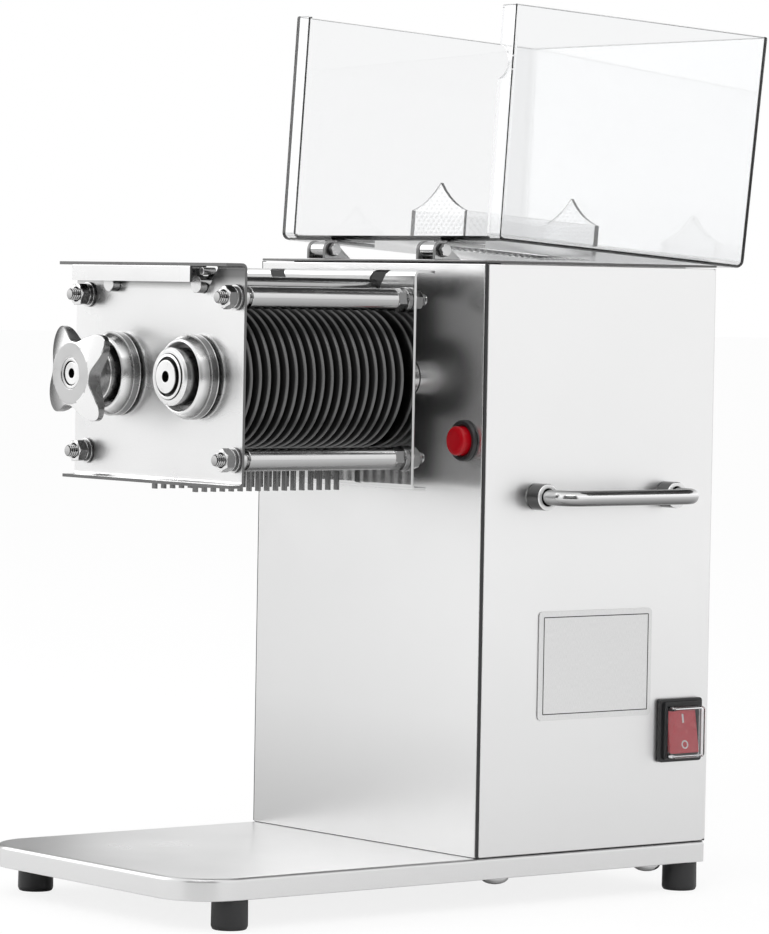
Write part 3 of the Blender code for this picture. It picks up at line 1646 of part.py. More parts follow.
def build_belt():
    bm = bmesh.new()
    inner, outer = belt_loop(0), belt_loop(BELT_DEPTH)
    narrow, wide = BELT_BOTTOM_WIDTH / 2 - GAP, BELT_TOP_WIDTH / 2
    corners = (
        (inner, -narrow),
        (inner, narrow),
        (outer, wide),
        (outer, -wide),
    )
    loops = [
        [bm.verts.new((x, PULLEY_MIDDLE + shift, z)) for x, z in loop] for loop, shift in corners
    ]
    count = len(inner)
    for near, far in zip(loops, loops[1:] + loops[:1]):
        for number in range(count):
            after = (number + 1) % count
            bm.faces.new([near[number], near[after], far[after], far[number]])
    object_from(bm, "drive_belt", black_rubber(), smooth=False)


def build_motor():
    centre = (MOTOR_OFFSET, 0, MOTOR_Z)
    end = MOTOR_FRONT + MOTOR_LENGTH
    bore = MOTOR_SHAFT_RADIUS + RUNNING_GAP
    floor = MOTOR_FRONT + MOTOR_SHAFT_INNER + GAP
    housing = [
        (0, floor),
        (bore, floor),
        (bore, MOTOR_FRONT),
        (MOTOR_RADIUS - MOTOR_CHAMFER, MOTOR_FRONT),
        (MOTOR_RADIUS, MOTOR_FRONT + MOTOR_CHAMFER),
        (MOTOR_RADIUS, end - MOTOR_CHAMFER),
        (MOTOR_RADIUS - MOTOR_CHAMFER, end),
        (0, end),
    ]
    object_from(turned(housing, centre, 24), "motor_housing", motor_paint())
    start = PULLEY_FRONT - OUTPUT_REAR_REACH
    object_from(
        rod(MOTOR_SHAFT_RADIUS, start, MOTOR_FRONT + MOTOR_SHAFT_INNER, centre, 16),
        "motor_shaft",
        polished_steel(),
        at=centre,
    )


def build_motor_cradle():
    """A saddle under the motor, standing on the tray."""
    bottom = TRAY_TOP + GAP
    radius = MOTOR_RADIUS + GAP
    down = math.radians(-90)
    seat = arc(
        (MOTOR_OFFSET, MOTOR_Z), radius, down + CRADLE_ANGLE, down - CRADLE_ANGLE, CRADLE_STEPS
    )
    seat = [
        (x + (x - MOTOR_OFFSET) * GAP / radius, z - GAP) for x, z in seat
    ]
    low = [
        (MOTOR_OFFSET - CRADLE_HALF_WIDTH, bottom),
        (MOTOR_OFFSET + CRADLE_HALF_WIDTH, bottom),
        (MOTOR_OFFSET + CRADLE_HALF_WIDTH, seat[0][1]),
    ]
    outline = low + seat + [(MOTOR_OFFSET - CRADLE_HALF_WIDTH, seat[-1][1])]
    start = MOTOR_FRONT + CRADLE_INSET
    object_from(
        prism(outline, start, start + CRADLE_LENGTH, "Y"),
        "motor_cradle",
        cast_aluminium(),
        smooth=False,
    )


def build_all():
    clear_scene()
    build_tray()
    build_feet()
    build_front_panel()
    build_rear_cover()
    build_gland()
    build_top_panel()
    build_side_panels()
    build_front_plate()
    build_rear_plate()
    build_tie_rods()
    build_blade_pack("blade_pack_left", -HALF_SPACING, BLADES_LEFT)
    build_blade_pack("blade_pack_right", HALF_SPACING, BLADES_RIGHT)
    build_roll_shafts()
    build_front_cups()
    build_rear_cups()
    build_shaft_cap()
    build_star_knob()
    build_combs()
    build_hinges()
    build_barrels()
    build_guard()
    build_chute()
    build_push_button()
    build_switch()
    build_label()
    build_handles()
    build_gears()
    build_output_shafts()
    build_gearbox()
    build_pinion_shaft()
    build_pulleys()
    build_belt()
    build_motor()
    build_motor_cradle()


build_all()
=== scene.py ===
"""The looks of a bench meat slicer with a flipped-back clear guard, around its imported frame.

Metres, +Z up, -Y the front. Each piece is a surface worked out with numpy and sits where its CAD
node is.
"""

import math

import bmesh
import bpy
import numpy as np
from mathutils import Matrix, Vector


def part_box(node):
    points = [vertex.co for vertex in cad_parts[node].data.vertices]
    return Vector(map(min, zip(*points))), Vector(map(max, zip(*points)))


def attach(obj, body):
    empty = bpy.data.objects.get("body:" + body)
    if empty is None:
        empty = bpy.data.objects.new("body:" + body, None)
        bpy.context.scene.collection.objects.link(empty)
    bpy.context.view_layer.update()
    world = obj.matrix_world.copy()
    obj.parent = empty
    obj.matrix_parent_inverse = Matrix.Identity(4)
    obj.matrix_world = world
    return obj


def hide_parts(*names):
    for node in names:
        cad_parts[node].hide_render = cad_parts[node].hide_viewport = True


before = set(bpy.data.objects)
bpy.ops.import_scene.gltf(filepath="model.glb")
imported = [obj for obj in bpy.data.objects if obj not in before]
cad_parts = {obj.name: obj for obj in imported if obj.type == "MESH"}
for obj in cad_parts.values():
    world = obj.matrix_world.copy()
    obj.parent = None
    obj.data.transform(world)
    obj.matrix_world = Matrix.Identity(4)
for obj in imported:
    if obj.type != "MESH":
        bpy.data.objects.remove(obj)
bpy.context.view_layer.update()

# Sizes
GAP = 0.0003
HALF_WIDTH = 0.119
SHEET = 0.0015
FRONT = float(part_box("cabinet_front_panel")[0][1])
REAR = float(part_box("cabinet_rear_cover")[1][1])
TOP = float(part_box("cabinet_top_panel")[1][2])
TRAY_LOW, TRAY_TOP = (float(corner[2]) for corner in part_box("base_tray"))
TRAY_FRONT = float(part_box("base_tray")[0][1])
CABINET_LOW = float(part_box("cabinet_front_panel")[0][2])
SEAT = HALF_WIDTH + GAP
SIDES = (("left", -1), ("right", 1))

BUTTON_X, BUTTON_Z = 0.100, TOP - 0.115
SWITCH_Y, SWITCH_Z = REAR - 0.02725, TRAY_TOP + 0.07405
GRIPS = (FRONT + 0.045, FRONT + 0.155)
HANDLE_Z = TRAY_TOP + 0.230

HINGE_X, HINGE_Y, HINGE_Z = 0.058, FRONT + 0.005, TOP + 0.0063
TILT = math.asin(0.007 / math.hypot(0.1925, 0.006)) + math.atan2(0.006, 0.1925)

SHAFT_X, SHAFT_Z = 0.042, TOP - 0.076
FACE, BACK = FRONT - 0.169, FRONT - 0.0335
PLATE = 0.002
PLATE_HALF = 0.091
CUP_FLOOR = FACE - GAP - 0.006
REAR_CUP = 0.0032
PITCH = 0.007
COMB_X, COMB_Z = 0.0475, TOP - 0.0183
SLOT_TILT = math.radians(37)
TIES = (("left", -0.077), ("right", 0.083))
TIE_HEIGHTS = {"upper": TOP - 0.026, "lower": TOP - 0.1265}
NUT_FLATS = 0.013


# Shapes


def unit(vectors):
    """Rows of vectors, each divided by its length."""
    return vectors / np.linalg.norm(vectors, axis=1)[:, None]


def eased(points, radius, steps=4, closed=False):
    """The polyline with each corner swapped for an arc that touches both of its sides.

    radius is one number, or one for each corner. The touching points are radius / tan(half the
    corner's angle) from the corner, but no further than room, a share of the side.
    """
    points = np.asarray(points, float)
    count, room, straight = len(points), 0.49, 1e-3
    radii = np.broadcast_to(radius, count)
    share = np.linspace(0, 1, steps + 1)[:, None]
    found = []
    for number, corner in enumerate(points):
        inner = closed or 0 < number < count - 1
        if not inner or radii[number] <= 0:
            found.append(corner)
            continue
        before = points[number - 1] - corner
        after = points[(number + 1) % count] - corner
        size_before, size_after = np.linalg.norm(before), np.linalg.norm(after)
        before, after = before / size_before, after / size_after
        half = math.acos(np.clip(before @ after, -1, 1)) / 2
        if abs(half - math.pi / 2) < straight:
            found.append(corner)
            continue
        reach = min(radii[number] / math.tan(half), room * size_before, room * size_after)
        middle = (before + after) / np.linalg.norm(before + after)
        centre = corner + middle * reach * math.tan(half) / math.sin(half)
        first, last = corner + before * reach - centre, corner + after * reach - centre
        swing = math.pi - 2 * half
        arc = np.sin((1 - share) * swing) * first + np.sin(share * swing) * last
        found.extend(centre + arc / math.sin(swing))
    return np.array(found)


def inset(outline, distance):
    """The closed outline, counter-clockwise, moved inwards along the mitre of its two sides, which
    a least scale keeps short at a sharp corner."""
    least = 0.3
    ahead = unit(np.roll(outline, -1, axis=0) - outline)
    normal = np.stack([-ahead[:, 1], ahead[:, 0]], 1)
    before = np.roll(normal, 1, axis=0)
    scale = 1 + (normal * before).sum(1)
    return outline + distance * (normal + before) / np.maximum(scale, least)[:, None]


def counter_clockwise(outline):
    """The closed outline, turned round if its signed area, half the sum of x y' - y x', is under
    zero."""
    outline = np.asarray(outline, float)
    x, y = outline.T
    area = (x * np.roll(y, -1) - y * np.roll(x, -1)).sum()
    return outline if area > 0 else outline[::-1]


def rounded_rectangle(low, high, radii, steps):
    """A rectangle, counter-clockwise from its low corner, its radius one or one per corner."""
    corners = [low, (high[0], low[1]), high, (low[0], high[1])]
    return eased(corners, radii, steps, closed=True)


def bent_sheet(path, thickness, radius):
    """The closed outline of a sheet folded along an open path, which is its middle line."""
    middle = eased(path, radius, 5)
    ahead = unit(np.gradient(middle, axis=0))
    aside = thickness / 2 * np.stack([-ahead[:, 1], ahead[:, 0]], 1)
    return np.concatenate([middle + aside, (middle - aside)[::-1]])


def grid_faces(rows, columns, wrap_rows=False, wrap_columns=True):
    """Quads between neighbouring rows and columns of a grid of points, as an (n, 4) array."""
    row, column = np.meshgrid(
        np.arange(rows if wrap_rows else rows - 1),
        np.arange(columns if wrap_columns else columns - 1),
        indexing="ij",
    )
    after, beside = (row + 1) % rows, (column + 1) % columns
    corners = [row * columns + column, row * columns + beside]
    corners += [after * columns + beside, after * columns + column]
    return np.stack(corners, -1).reshape(-1, 4)


def capped(points, rows, size):
    """A shell: rows of size points each, joined by quads, with a face over both end rows."""
    last = np.arange(size) + (rows - 1) * size
    return np.reshape(points, (-1, 3)), [*grid_faces(rows, size), np.arange(size)[::-1], last]


def placed(first, second, along, axis):
    """Points of a plane figure at depth along the axis, the other two in X, Y, Z order."""
    along = np.broadcast_to(along, np.shape(first))
    order = {"X": (along, first, second), "Y": (first, along, second), "Z": (first, second, along)}
    return np.stack(order[axis], -1)


def spun(radius, along, centre, axis="Y", wrap=False):
    """A shell: rows of radii about the axis through centre, each row at its place along it.

    The point at angle a is (radius cos a, radius sin a) across the axis.
    """
    angle = np.linspace(0, 2 * math.pi, radius.shape[1], endpoint=False)
    points = placed(radius * np.cos(angle), radius * np.sin(angle), along, axis)
    return (points + np.asarray(centre)).reshape(-1, 3), grid_faces(*radius.shape, wrap)


def turned(profile, centre, axis="Y", steps=64):
    """A shell: the (radius, place) profile spun about the axis through centre. A profile off the
    axis at both ends is closed on itself."""
    profile = np.asarray(profile, float)
    radius = np.repeat(profile[:, :1], steps, 1)
    wrap = profile[0, 0] > 0 and profile[-1, 0] > 0
    return spun(radius, profile[:, 1:], centre, axis, wrap)


def rod(radius, start, end, centre, axis="Y", steps=48):
    """A shell: a plain bar or hole, a rectangle spun about the axis."""
    return turned([(0, start), (radius, start), (radius, end), (0, end)], centre, axis, steps)


def collar(inner, outer, start, end, ease, centre, axis="Y", steps=48):
    """A shell: a ring, a rectangle with eased corners spun about the axis."""
    section = [(inner, start), (outer, start), (outer, end), (inner, end)]
    return turned(eased(section, ease, 3, closed=True), centre, axis, steps)


def extruded(outline, start, end, axis, ease=0.0003, steps=2):
    """A shell: the closed outline carried from start to end, its rim rounded by ease.

    Row k of the rim is inset by ease (1 - sin a) and ease (1 - cos a) in from the end.
    """
    outline = counter_clockwise(outline)
    swing = np.linspace(0, math.pi / 2, steps + 1)
    insets, depths = ease * (1 - np.sin(swing)), ease * (1 - np.cos(swing))
    rows = [*zip(insets, start + depths), *zip(insets[::-1], end - depths[::-1])]
    points = [placed(*inset(outline, distance).T, along, axis) for distance, along in rows]
    return capped(points, len(rows), len(outline))


def band(outer, inner, start, end, axis):
    """A shell: the strip between two outlines of as many points, carried from start to end."""
    rows = ((outer, start), (outer, end), (inner, end), (inner, start))
    points = [placed(*outline.T, along, axis) for outline, along in rows]
    return np.concatenate(points), grid_faces(4, len(outer), True)


def block(low, high, ease=0.0003):
    """A shell: a box with its edges rounded by ease. It is the sum of a smaller box and a ball."""
    low, high = np.asarray(low, float), np.asarray(high, float)
    swing = np.linspace(0, math.pi / 2, 3)
    turns = np.concatenate([swing + quarter * math.pi / 2 for quarter in range(4)])
    lift, turn = np.meshgrid(np.concatenate([-swing[::-1], swing]), turns, indexing="ij")
    ball = np.stack([np.cos(lift) * np.cos(turn), np.cos(lift) * np.sin(turn), np.sin(lift)], -1)
    core = np.empty(ball.shape)
    core[..., 0] = np.repeat([1, -1, -1, 1], 3)
    core[..., 1] = np.repeat([1, 1, -1, -1], 3)
    core[..., 2] = np.repeat([-1, 1], 3)[:, None]
    points = (low + high) / 2 + core * ((high - low) / 2 - ease) + ball * ease
    return capped(points, *lift.shape)


def tube(path, radius, steps):
    """A shell: a circle carried along the path on frames turned with it, and closed at its ends."""
    path = np.asarray(path, float)
    ahead = unit(np.gradient(path, axis=0))
    anywhere = (0.3, 0.2, 0.93)
    side = np.cross(ahead[0], anywhere)
    sides = []
    for direction in ahead:
        side = side - (side @ direction) * direction
        side = side / np.linalg.norm(side)
        sides.append(side)
    sides = np.array(sides)
    angle = np.linspace(0, 2 * math.pi, steps, endpoint=False)[None, :, None]
    ring = sides[:, None] * np.cos(angle) + np.cross(ahead, sides)[:, None] * np.sin(angle)
    return capped(path[:, None] + ring * radius, len(path), steps)


def hex_nut(centre, flats, start, end, bore, axis, turn):
    """A shell: a hexagon with its corners chamfered by a cone, and a bored middle.

    The radius at angle a is the smaller of the hexagon's, flats / cos(a to the nearest flat), and
    the cone's, which grows away from each face.
    """
    steps, bevel, shallow, face_share = 72, 0.11, 0.05, 0.97
    angle = np.linspace(0, 2 * math.pi, steps, endpoint=False)
    away = (angle + math.radians(turn)) % (math.pi / 3) - math.pi / 6
    height, inner = end - start, flats / 2 * face_share
    depths = np.array([0, shallow, bevel, 1 - bevel, 1 - shallow, 1]) * height
    near = np.minimum(depths, height - depths)[:, None]
    cone = inner + near * (flats / math.sqrt(3) - inner) / (bevel * height)
    hole = np.full((1, steps), bore)
    radius = np.concatenate([hole, np.minimum(flats / 2 / np.cos(away), cone), hole])
    places = np.concatenate([[start], start + depths, [end]])[:, None]
    return spun(radius, places, centre, axis, bore > 0)


def thread(centre, start, end):
    """A shell: a stud's screw thread. At angle a and place t the radius is the outer one less the
    depth times a triangle wave of t / pitch - a / full turn. Both ends have a chamfer."""
    outer, pitch, depth, steps, per_turn = 0.004, 0.0016, 0.0009, 28, 6
    places = np.linspace(start, end, int(round((end - start) / pitch * per_turn)) + 1)[:, None]
    angle = np.linspace(0, 2 * math.pi, steps, endpoint=False)
    wave = places / pitch - angle / (2 * math.pi)
    ridge = 2 * np.abs(wave - np.floor(wave) - 0.5)
    limit = outer - depth + np.minimum(places - start, end - places)
    tip = np.zeros((1, steps))
    rows = np.concatenate([tip, np.minimum(outer - depth * ridge, limit), tip])
    return spun(rows, np.concatenate([places[:1], places, places[-1:]]), centre)


def moved(shell, matrix):
    """The shell carried by a 4 x 4 matrix."""
    points, faces = shell
    matrix = np.array(matrix)
    return np.asarray(points) @ matrix[:3, :3].T + matrix[:3, 3], faces


# Pieces


def shade(piece, sharp):
    """Smooth, but sharp where faces meet at more than so many degrees."""
    piece.data.shade_smooth()
    piece.data.set_sharp_from_angle(angle=math.radians(sharp))


def piece_from(name, shells, finish, sharp=35):
    """One object from (points, faces) shells. Doubles are merged and the faces turned outwards."""
    points, faces, start = [], [], 0
    for shell_points, shell_faces in shells:
        points.append(shell_points)
        faces.extend([[int(i) + start for i in face] for face in shell_faces])
        start += len(shell_points)
    mesh = bpy.data.meshes.new(name)
    mesh.from_pydata(np.concatenate(points).tolist(), [], faces)
    bm = bmesh.new()
    bm.from_mesh(mesh)
    bmesh.ops.remove_doubles(bm, verts=bm.verts[:], dist=2e-7)
    bmesh.ops.dissolve_degenerate(bm, edges=bm.edges[:], dist=2e-7)
    bmesh.ops.recalc_face_normals(bm, faces=bm.faces[:])
    bm.to_mesh(mesh)
    bm.free()
    piece = bpy.data.objects.new(name, mesh)
    bpy.context.scene.collection.objects.link(piece)
    mesh.materials.append(finish)
    shade(piece, sharp)
    return piece


def settled(piece):
    """Keeps the mesh that the piece's modifiers make, and takes them off."""
    bpy.context.view_layer.update()
    graph = bpy.context.evaluated_depsgraph_get()
    mesh = bpy.data.meshes.new_from_object(piece.evaluated_get(graph))
    piece.modifiers.clear()
    old, piece.data = piece.data, mesh
    mesh.name = piece.name
    bpy.data.meshes.remove(old)


def carved(piece, shells, operation, sharp):
    """The piece with the shells cut out of it, or joined on, and the result kept as its mesh."""
    tool = piece_from(piece.name + "_tool", shells, piece.data.materials[0])
    step = piece.modifiers.new("carve", "BOOLEAN")
    step.operation, step.solver, step.object = operation, "EXACT", tool
    settled(piece)
    bpy.data.objects.remove(tool, do_unlink=True)
    shade(piece, sharp)


def faced(piece, finish, chosen):
    """Gives another finish to the faces that chosen picks by their middles and normals, each as
    its three rows X, Y and Z."""
    mesh = piece.data
    found = []
    for key in ("center", "normal"):
        flat = np.empty(len(mesh.polygons) * 3, np.float32)
        mesh.polygons.foreach_get(key, flat)
        found.append(flat.reshape(-1, 3).T)
    slots = np.empty(len(mesh.polygons), np.int32)
    mesh.polygons.foreach_get("material_index", slots)
    slots[chosen(*found)] = len(mesh.materials)
    mesh.materials.append(finish)
    mesh.polygons.foreach_set("material_index", slots)


def fit(piece, body, slot, *nodes):
    """Binds a finished piece. Its normals first lean to the larger faces, so flat sheet is flat."""
    lean = piece.modifiers.new("lean", "WEIGHTED_NORMAL")
    lean.keep_sharp = True
    settled(piece)
    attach(piece, body)
    if nodes:
        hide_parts(*nodes)


def made(name, shells, finish, body, slot, *nodes, sharp=35, join=(), cut=(), looks=()):
    """Makes, joins, cuts and binds a piece. join and cut hold lists of shells, one for each step,
    and looks holds (finish, chosen) pairs for some of its faces."""
    piece = piece_from(name, shells, finish, sharp)
    for tools in join:
        carved(piece, tools, "UNION", sharp)
    for tools in cut:
        carved(piece, tools, "DIFFERENCE", sharp)
    for look, chosen in looks:
        faced(piece, look, chosen)
    fit(piece, body, slot, *nodes)


def off_axis(at, x, z):
    """How far faces lie from an axis along Y."""
    return np.hypot(at[0] - x, at[2] - z)


def thread_groove(at, way, x, z):
    """The faces down in a stud's thread, by their distance from its axis; they take painted shade.
    """
    reach = off_axis(at, x, z)
    outside = ((at[1] < FACE) | (at[1] > BACK)) & (abs(way[1]) < 0.9)
    return outside & (reach > 0.0015) & (reach < 0.00345)


# Finishes


def add(tree, kind, **settings):
    """A new node. A setting is one of its properties, or a socket, with _ for a space."""
    node = tree.nodes.new(kind)
    for key, value in settings.items():
        if hasattr(node, key):
            setattr(node, key, value)
        else:
            node.inputs[key.replace("_", " ")].default_value = value
    return node


def mixed(tree, share, first, second):
    """The first shader turned into the second by a share."""
    mix = add(tree, "ShaderNodeMixShader")
    for source, target in zip((share, first, second), mix.inputs):
        tree.links.new(source, target)
    return mix.outputs["Shader"]


def grey(level):
    """A colour of three equal parts."""
    return (level, level, level)


class Finish:
    """A material being wired: nodes by type, and links by socket name."""

    def __init__(self, name, colour, metallic, roughness, **sockets):
        self.material = bpy.data.materials.new(name)
        self.material.use_nodes = True
        self.tree = self.material.node_tree
        self.shader = self.tree.nodes["Principled BSDF"]
        sockets.update(Base_Color=(*colour, 1), Metallic=metallic, Roughness=roughness)
        for key, value in sockets.items():
            self.shader.inputs[key.replace("_", " ")].default_value = value
        self.material.diffuse_color = (*colour, 1)

    def add(self, kind, **settings):
        return add(self.tree, kind, **settings)

    def link(self, source, target):
        self.tree.links.new(source, target)

    def place(self):
        return self.add("ShaderNodeTexCoord").outputs["Object"]

    def mapped(self, scale):
        """Object coordinates, each multiplied by its own factor."""
        mapping = self.add("ShaderNodeMapping", Scale=scale)
        self.link(self.place(), mapping.inputs["Vector"])
        return mapping.outputs["Vector"]

    def parts(self):
        """Object coordinates taken apart into X, Y and Z."""
        parts = self.add("ShaderNodeSeparateXYZ")
        self.link(self.place(), parts.inputs["Vector"])
        return parts.outputs

    def noise(self, scale, detail, stretch=(1, 1, 1)):
        """Noise over Object coordinates, stretched along an axis by a small factor on it."""
        noise = self.add("ShaderNodeTexNoise", Scale=scale, Detail=detail)
        self.link(self.mapped(stretch), noise.inputs["Vector"])
        return noise.outputs["Fac"]

    def gloss(self, value, low, high):
        """Drives the roughness between low and high by a value from 0.3 to 0.7."""
        spread = self.add("ShaderNodeMapRange", From_Min=0.3, From_Max=0.7, To_Min=low, To_Max=high)
        self.link(value, spread.inputs["Value"])
        self.link(spread.outputs["Result"], self.shader.inputs["Roughness"])

    def ramp(self, value, stops):
        """The colour at a value, by (value, colour) stops in rising order."""
        ramp = self.add("ShaderNodeValToRGB")
        points = ramp.color_ramp.elements
        while len(points) < len(stops):
            points.new(0.5)
        for point, (at, colour) in zip(points, stops):
            point.position, point.color = at, (*colour, 1)
        self.link(value, ramp.inputs["Fac"])
        return ramp.outputs["Color"]

    def tint(self, value, dark, light):
        """Colours the surface between two colours by a value from 0.3 to 0.7."""
        colour = self.ramp(value, ((0.3, dark), (0.7, light)))
        self.link(colour, self.shader.inputs["Base Color"])

    def bump(self, value, strength, distance):
        bump = self.add("ShaderNodeBump", Strength=strength, Distance=distance)
        self.link(value, bump.inputs["Height"])
        self.link(bump.outputs["Normal"], self.shader.inputs["Normal"])

    def fade(self, axis, stops):
        """Paints light and shade into the colour: multiplies it by a factor along an axis of
        Object coordinates. stops are (place, factor) pairs in rising order."""
        low, high = stops[0][0], stops[-1][0]
        share = self.add("ShaderNodeMapRange", From_Min=low, From_Max=high)
        self.link(self.parts()[axis], share.inputs["Value"])
        stops = [((at - low) / (high - low), grey(factor)) for at, factor in stops]
        mix = self.add("ShaderNodeMix", data_type="RGBA", blend_type="MULTIPLY")
        mix.inputs[0].default_value = 1.0
        socket = self.shader.inputs["Base Color"]
        if socket.links:
            self.link(socket.links[0].from_socket, mix.inputs[6])
        else:
            mix.inputs[6].default_value = socket.default_value
        self.link(self.ramp(share.outputs["Result"], stops), mix.inputs[7])
        self.link(mix.outputs[2], socket)

    def painted_lights(self, pairs):
        """Painted light along one axis after another: pairs holds axis, stops, axis, stops and so
        on.
        """
        for axis, stops in zip(pairs[::2], pairs[1::2]):
            self.fade(axis, stops)


# Painted reflection across a round bar: pairs of height from its axis, as a share of its radius,
# and colour factor.
BAR_PAINTED_REFLECTION = ((-1, 0.06), (-0.88, 0.20), (-0.62, 0.42), (-0.25, 0.62), (0.05, 0.84), (0.35, 1.0),
             (0.60, 0.80), (0.84, 0.50), (1, 0.10))
UPRIGHT = (0.6, 0.6, 60)


def rounded(name, z, radius, level=0.76, power=1.0):
    """A bright round bar with a painted reflection: its colour is light along its middle height
    and dark towards its top and bottom. A higher power makes it darker between."""
    finish = Finish(name, grey(level), 1.0, 0.16)
    finish.gloss(finish.noise(60.0, 3.0), 0.12, 0.22)
    finish.fade("Z", [(z + share * radius, factor**power) for share, factor in BAR_PAINTED_REFLECTION])
    return finish.material


def brushed(name, level, roughness, stretch=UPRIGHT, strength=0.05, fade=(), streak=0.94):
    """Satin sheet steel: fine streaks along the axis on which stretch is smallest."""
    finish = Finish(name, grey(level), 1.0, roughness)
    fine = finish.noise(900.0, 4.0, stretch)
    finish.tint(fine, grey(level * streak), grey(min(level * 1.03, 0.98)))
    finish.gloss(finish.noise(14.0, 2.0), roughness * 0.9, roughness * 1.15)
    finish.bump(fine, strength, 0.00004)
    # fade paints light and shade into the colour along the given axes.
    finish.painted_lights(fade)
    return finish.material


def polished(name, level, roughness, fade=()):
    """Turned and polished steel: hardly any grain, and a little uneven gloss."""
    finish = Finish(name, grey(level), 1.0, roughness)
    finish.gloss(finish.noise(60.0, 3.0), roughness * 0.7, roughness * 1.4)
    finish.bump(finish.noise(400.0, 2.0, (1, 12, 1)), 0.03, 0.00003)
    # fade paints light and shade into the colour along the given axes.
    finish.painted_lights(fade)
    return finish.material


def moulded(name, colour, roughness, grain=0.06, gloss=0.5):
    """Moulded plastic or rubber with a fine grain."""
    finish = Finish(name, colour, 0.0, roughness, Specular_IOR_Level=gloss)
    fine = finish.noise(1600.0, 2.0)
    finish.gloss(finish.noise(40.0, 2.0), roughness * 0.85, roughness * 1.2)
    finish.tint(fine, [part * 0.9 for part in colour], [min(part * 1.12, 1) for part in colour])
    finish.bump(fine, grain, 0.00005)
    return finish.material


def clear(name, colour, roughness):
    """Clear moulded plastic: glossy, slightly grey, and with a faint unevenness in its gloss."""
    finish = Finish(name, colour, 0.0, roughness, Transmission_Weight=1.0, IOR=1.49)
    finish.gloss(finish.noise(25.0, 2.0), roughness * 0.6, roughness * 1.5)
    return finish.material


def patterned(name):
    """Clear plastic with fine raised diamonds: two diagonal waves of Object coordinates."""
    finish = Finish(name, (0.985, 0.987, 0.990), 0.0, 0.10, Transmission_Weight=0.93, IOR=1.49)
    product = finish.add("ShaderNodeMath", operation="MULTIPLY")
    for lean, target in zip((1, -1), product.inputs):
        wave = finish.add("ShaderNodeTexWave", bands_direction="DIAGONAL", Scale=120.0)
        finish.link(finish.mapped((1, 1, lean)), wave.inputs["Vector"])
        finish.link(wave.outputs["Fac"], target)
    finish.bump(product.outputs["Value"], 0.12, 0.0002)
    finish.gloss(product.outputs["Value"], 0.05, 0.25)
    return finish.material


def blade_finish(name, x):
    """Dark discs, with painted shade that deepens towards the shaft between the close discs, and a
    brighter rim, partly the ground edge and partly a painted highlight: the colour goes by distance
    from the shaft, in units in which the discs' 45 mm is 0.9."""
    per_metre = 20.0
    finish = Finish(name, grey(0.05), 0.6, 0.42)
    parts = finish.parts()
    flat = finish.add("ShaderNodeCombineXYZ")
    finish.link(parts["X"], flat.inputs["X"])
    finish.link(parts["Z"], flat.inputs["Y"])
    reach = finish.add("ShaderNodeVectorMath", operation="DISTANCE")
    finish.link(flat.outputs["Vector"], reach.inputs[0])
    reach.inputs[1].default_value = (x, SHAFT_Z, 0)
    scaled = finish.add("ShaderNodeMath", operation="MULTIPLY")
    scaled.inputs[1].default_value = per_metre
    finish.link(reach.outputs["Value"], scaled.inputs[0])
    # Painted shade: near black deep down, lighter towards the rim.
    painted_shade_and_rim = ((0.60, 0.008), (0.82, 0.022), (0.886, 0.055), (0.899, 0.15))
    colour = finish.ramp(scaled.outputs["Value"], [(at, grey(level)) for at, level in painted_shade_and_rim])
    finish.link(colour, finish.shader.inputs["Base Color"])
    finish.bump(finish.noise(500.0, 3.0, (1, 0.1, 1)), 0.04, 0.00003)
    return finish.material


SHEET_STEEL = brushed("satin_sheet", 0.90, 0.32)
# Painted shade: the front panel darkens towards its foot and towards its left side.
FRONT_STEEL_PAINTED_SHADE = brushed("front_sheet_painted_shade", 0.96, 0.24, fade=(
    "Z", ((0.033, 0.66), (0.060, 0.70), (0.122, 0.84), (0.186, 0.90), (0.235, 0.95), (0.413, 0.97)),
    "X", ((-0.119, 0.91), (0.0, 0.95), (0.119, 1.0))))
# Painted shade: the side panels darken towards their foot.
SIDE_STEEL_PAINTED_SHADE = brushed("side_sheet_painted_shade", 1.0, 0.32, streak=0.985, fade=(
    "Z", ((0.033, 0.81), (0.080, 0.86), (0.222, 0.98), (0.413, 1.0))))
# Painted shade: the tray's deck and bent edge are a little darker than its skirt.
TRAY_STEEL_PAINTED_SHADE = brushed("tray_sheet_painted_shade", 0.785, 0.30, (60, 0.6, 60), 0.09, (
    "Z", ((TRAY_LOW, 1.0), (TRAY_TOP - 0.002, 1.0), (TRAY_TOP - 0.0003, 0.92),
          (TRAY_TOP + 0.001, 0.92))))
PLATE_STEEL = brushed("plate_sheet", 0.86, 0.38, (18, 18, 0.4), 0.10, streak=0.80)
CASSETTE_STEEL = brushed("cassette_sheet", 0.84, 0.27)
# Painted shade under the upper flange: the front plate darkens towards its top, the flange
# included.
FRONT_PLATE_PAINTED_SHADE = brushed("front_plate_painted_shade", 0.88, 0.27, fade=(
    "Z", ((TOP - 0.022, 1.0), (TOP - 0.0165, 0.50), (TOP - 0.013, 0.24), (TOP, 0.24))))
# Painted shade: the rear plate's back is near black, lightening on its right part.
PLATE_BACK_PAINTED_SHADE = brushed("rear_plate_back_painted_shade", 0.92, 0.62, fade=(
    "X", ((-0.091, 0.05), (0.026, 0.05), (0.036, 0.90), (0.091, 1.0))))
CAST = brushed("cast_aluminium", 0.62, 0.5, (1, 1, 1), 0.2)
REAR_PLATE_STEEL = polished("rear_plate_face", 0.66, 0.12)
# Painted shade: a dark copy of the steel for cut edges and narrow faces.
CUT_EDGE_PAINTED_SHADE = polished("cut_edge_painted_shade", 0.17, 0.35)
# Painted highlight: a light copy of the steel for the end faces of nuts, washers, bolts and pins.
NUT_FACE_PAINTED_HIGHLIGHT = polished("nut_face_painted_highlight", 0.82, 0.26)
# Painted shade: a dark copy of the steel for the flats of nuts.
NUT_FLAT = polished("nut_flat_painted_shade", 0.22, 0.22)
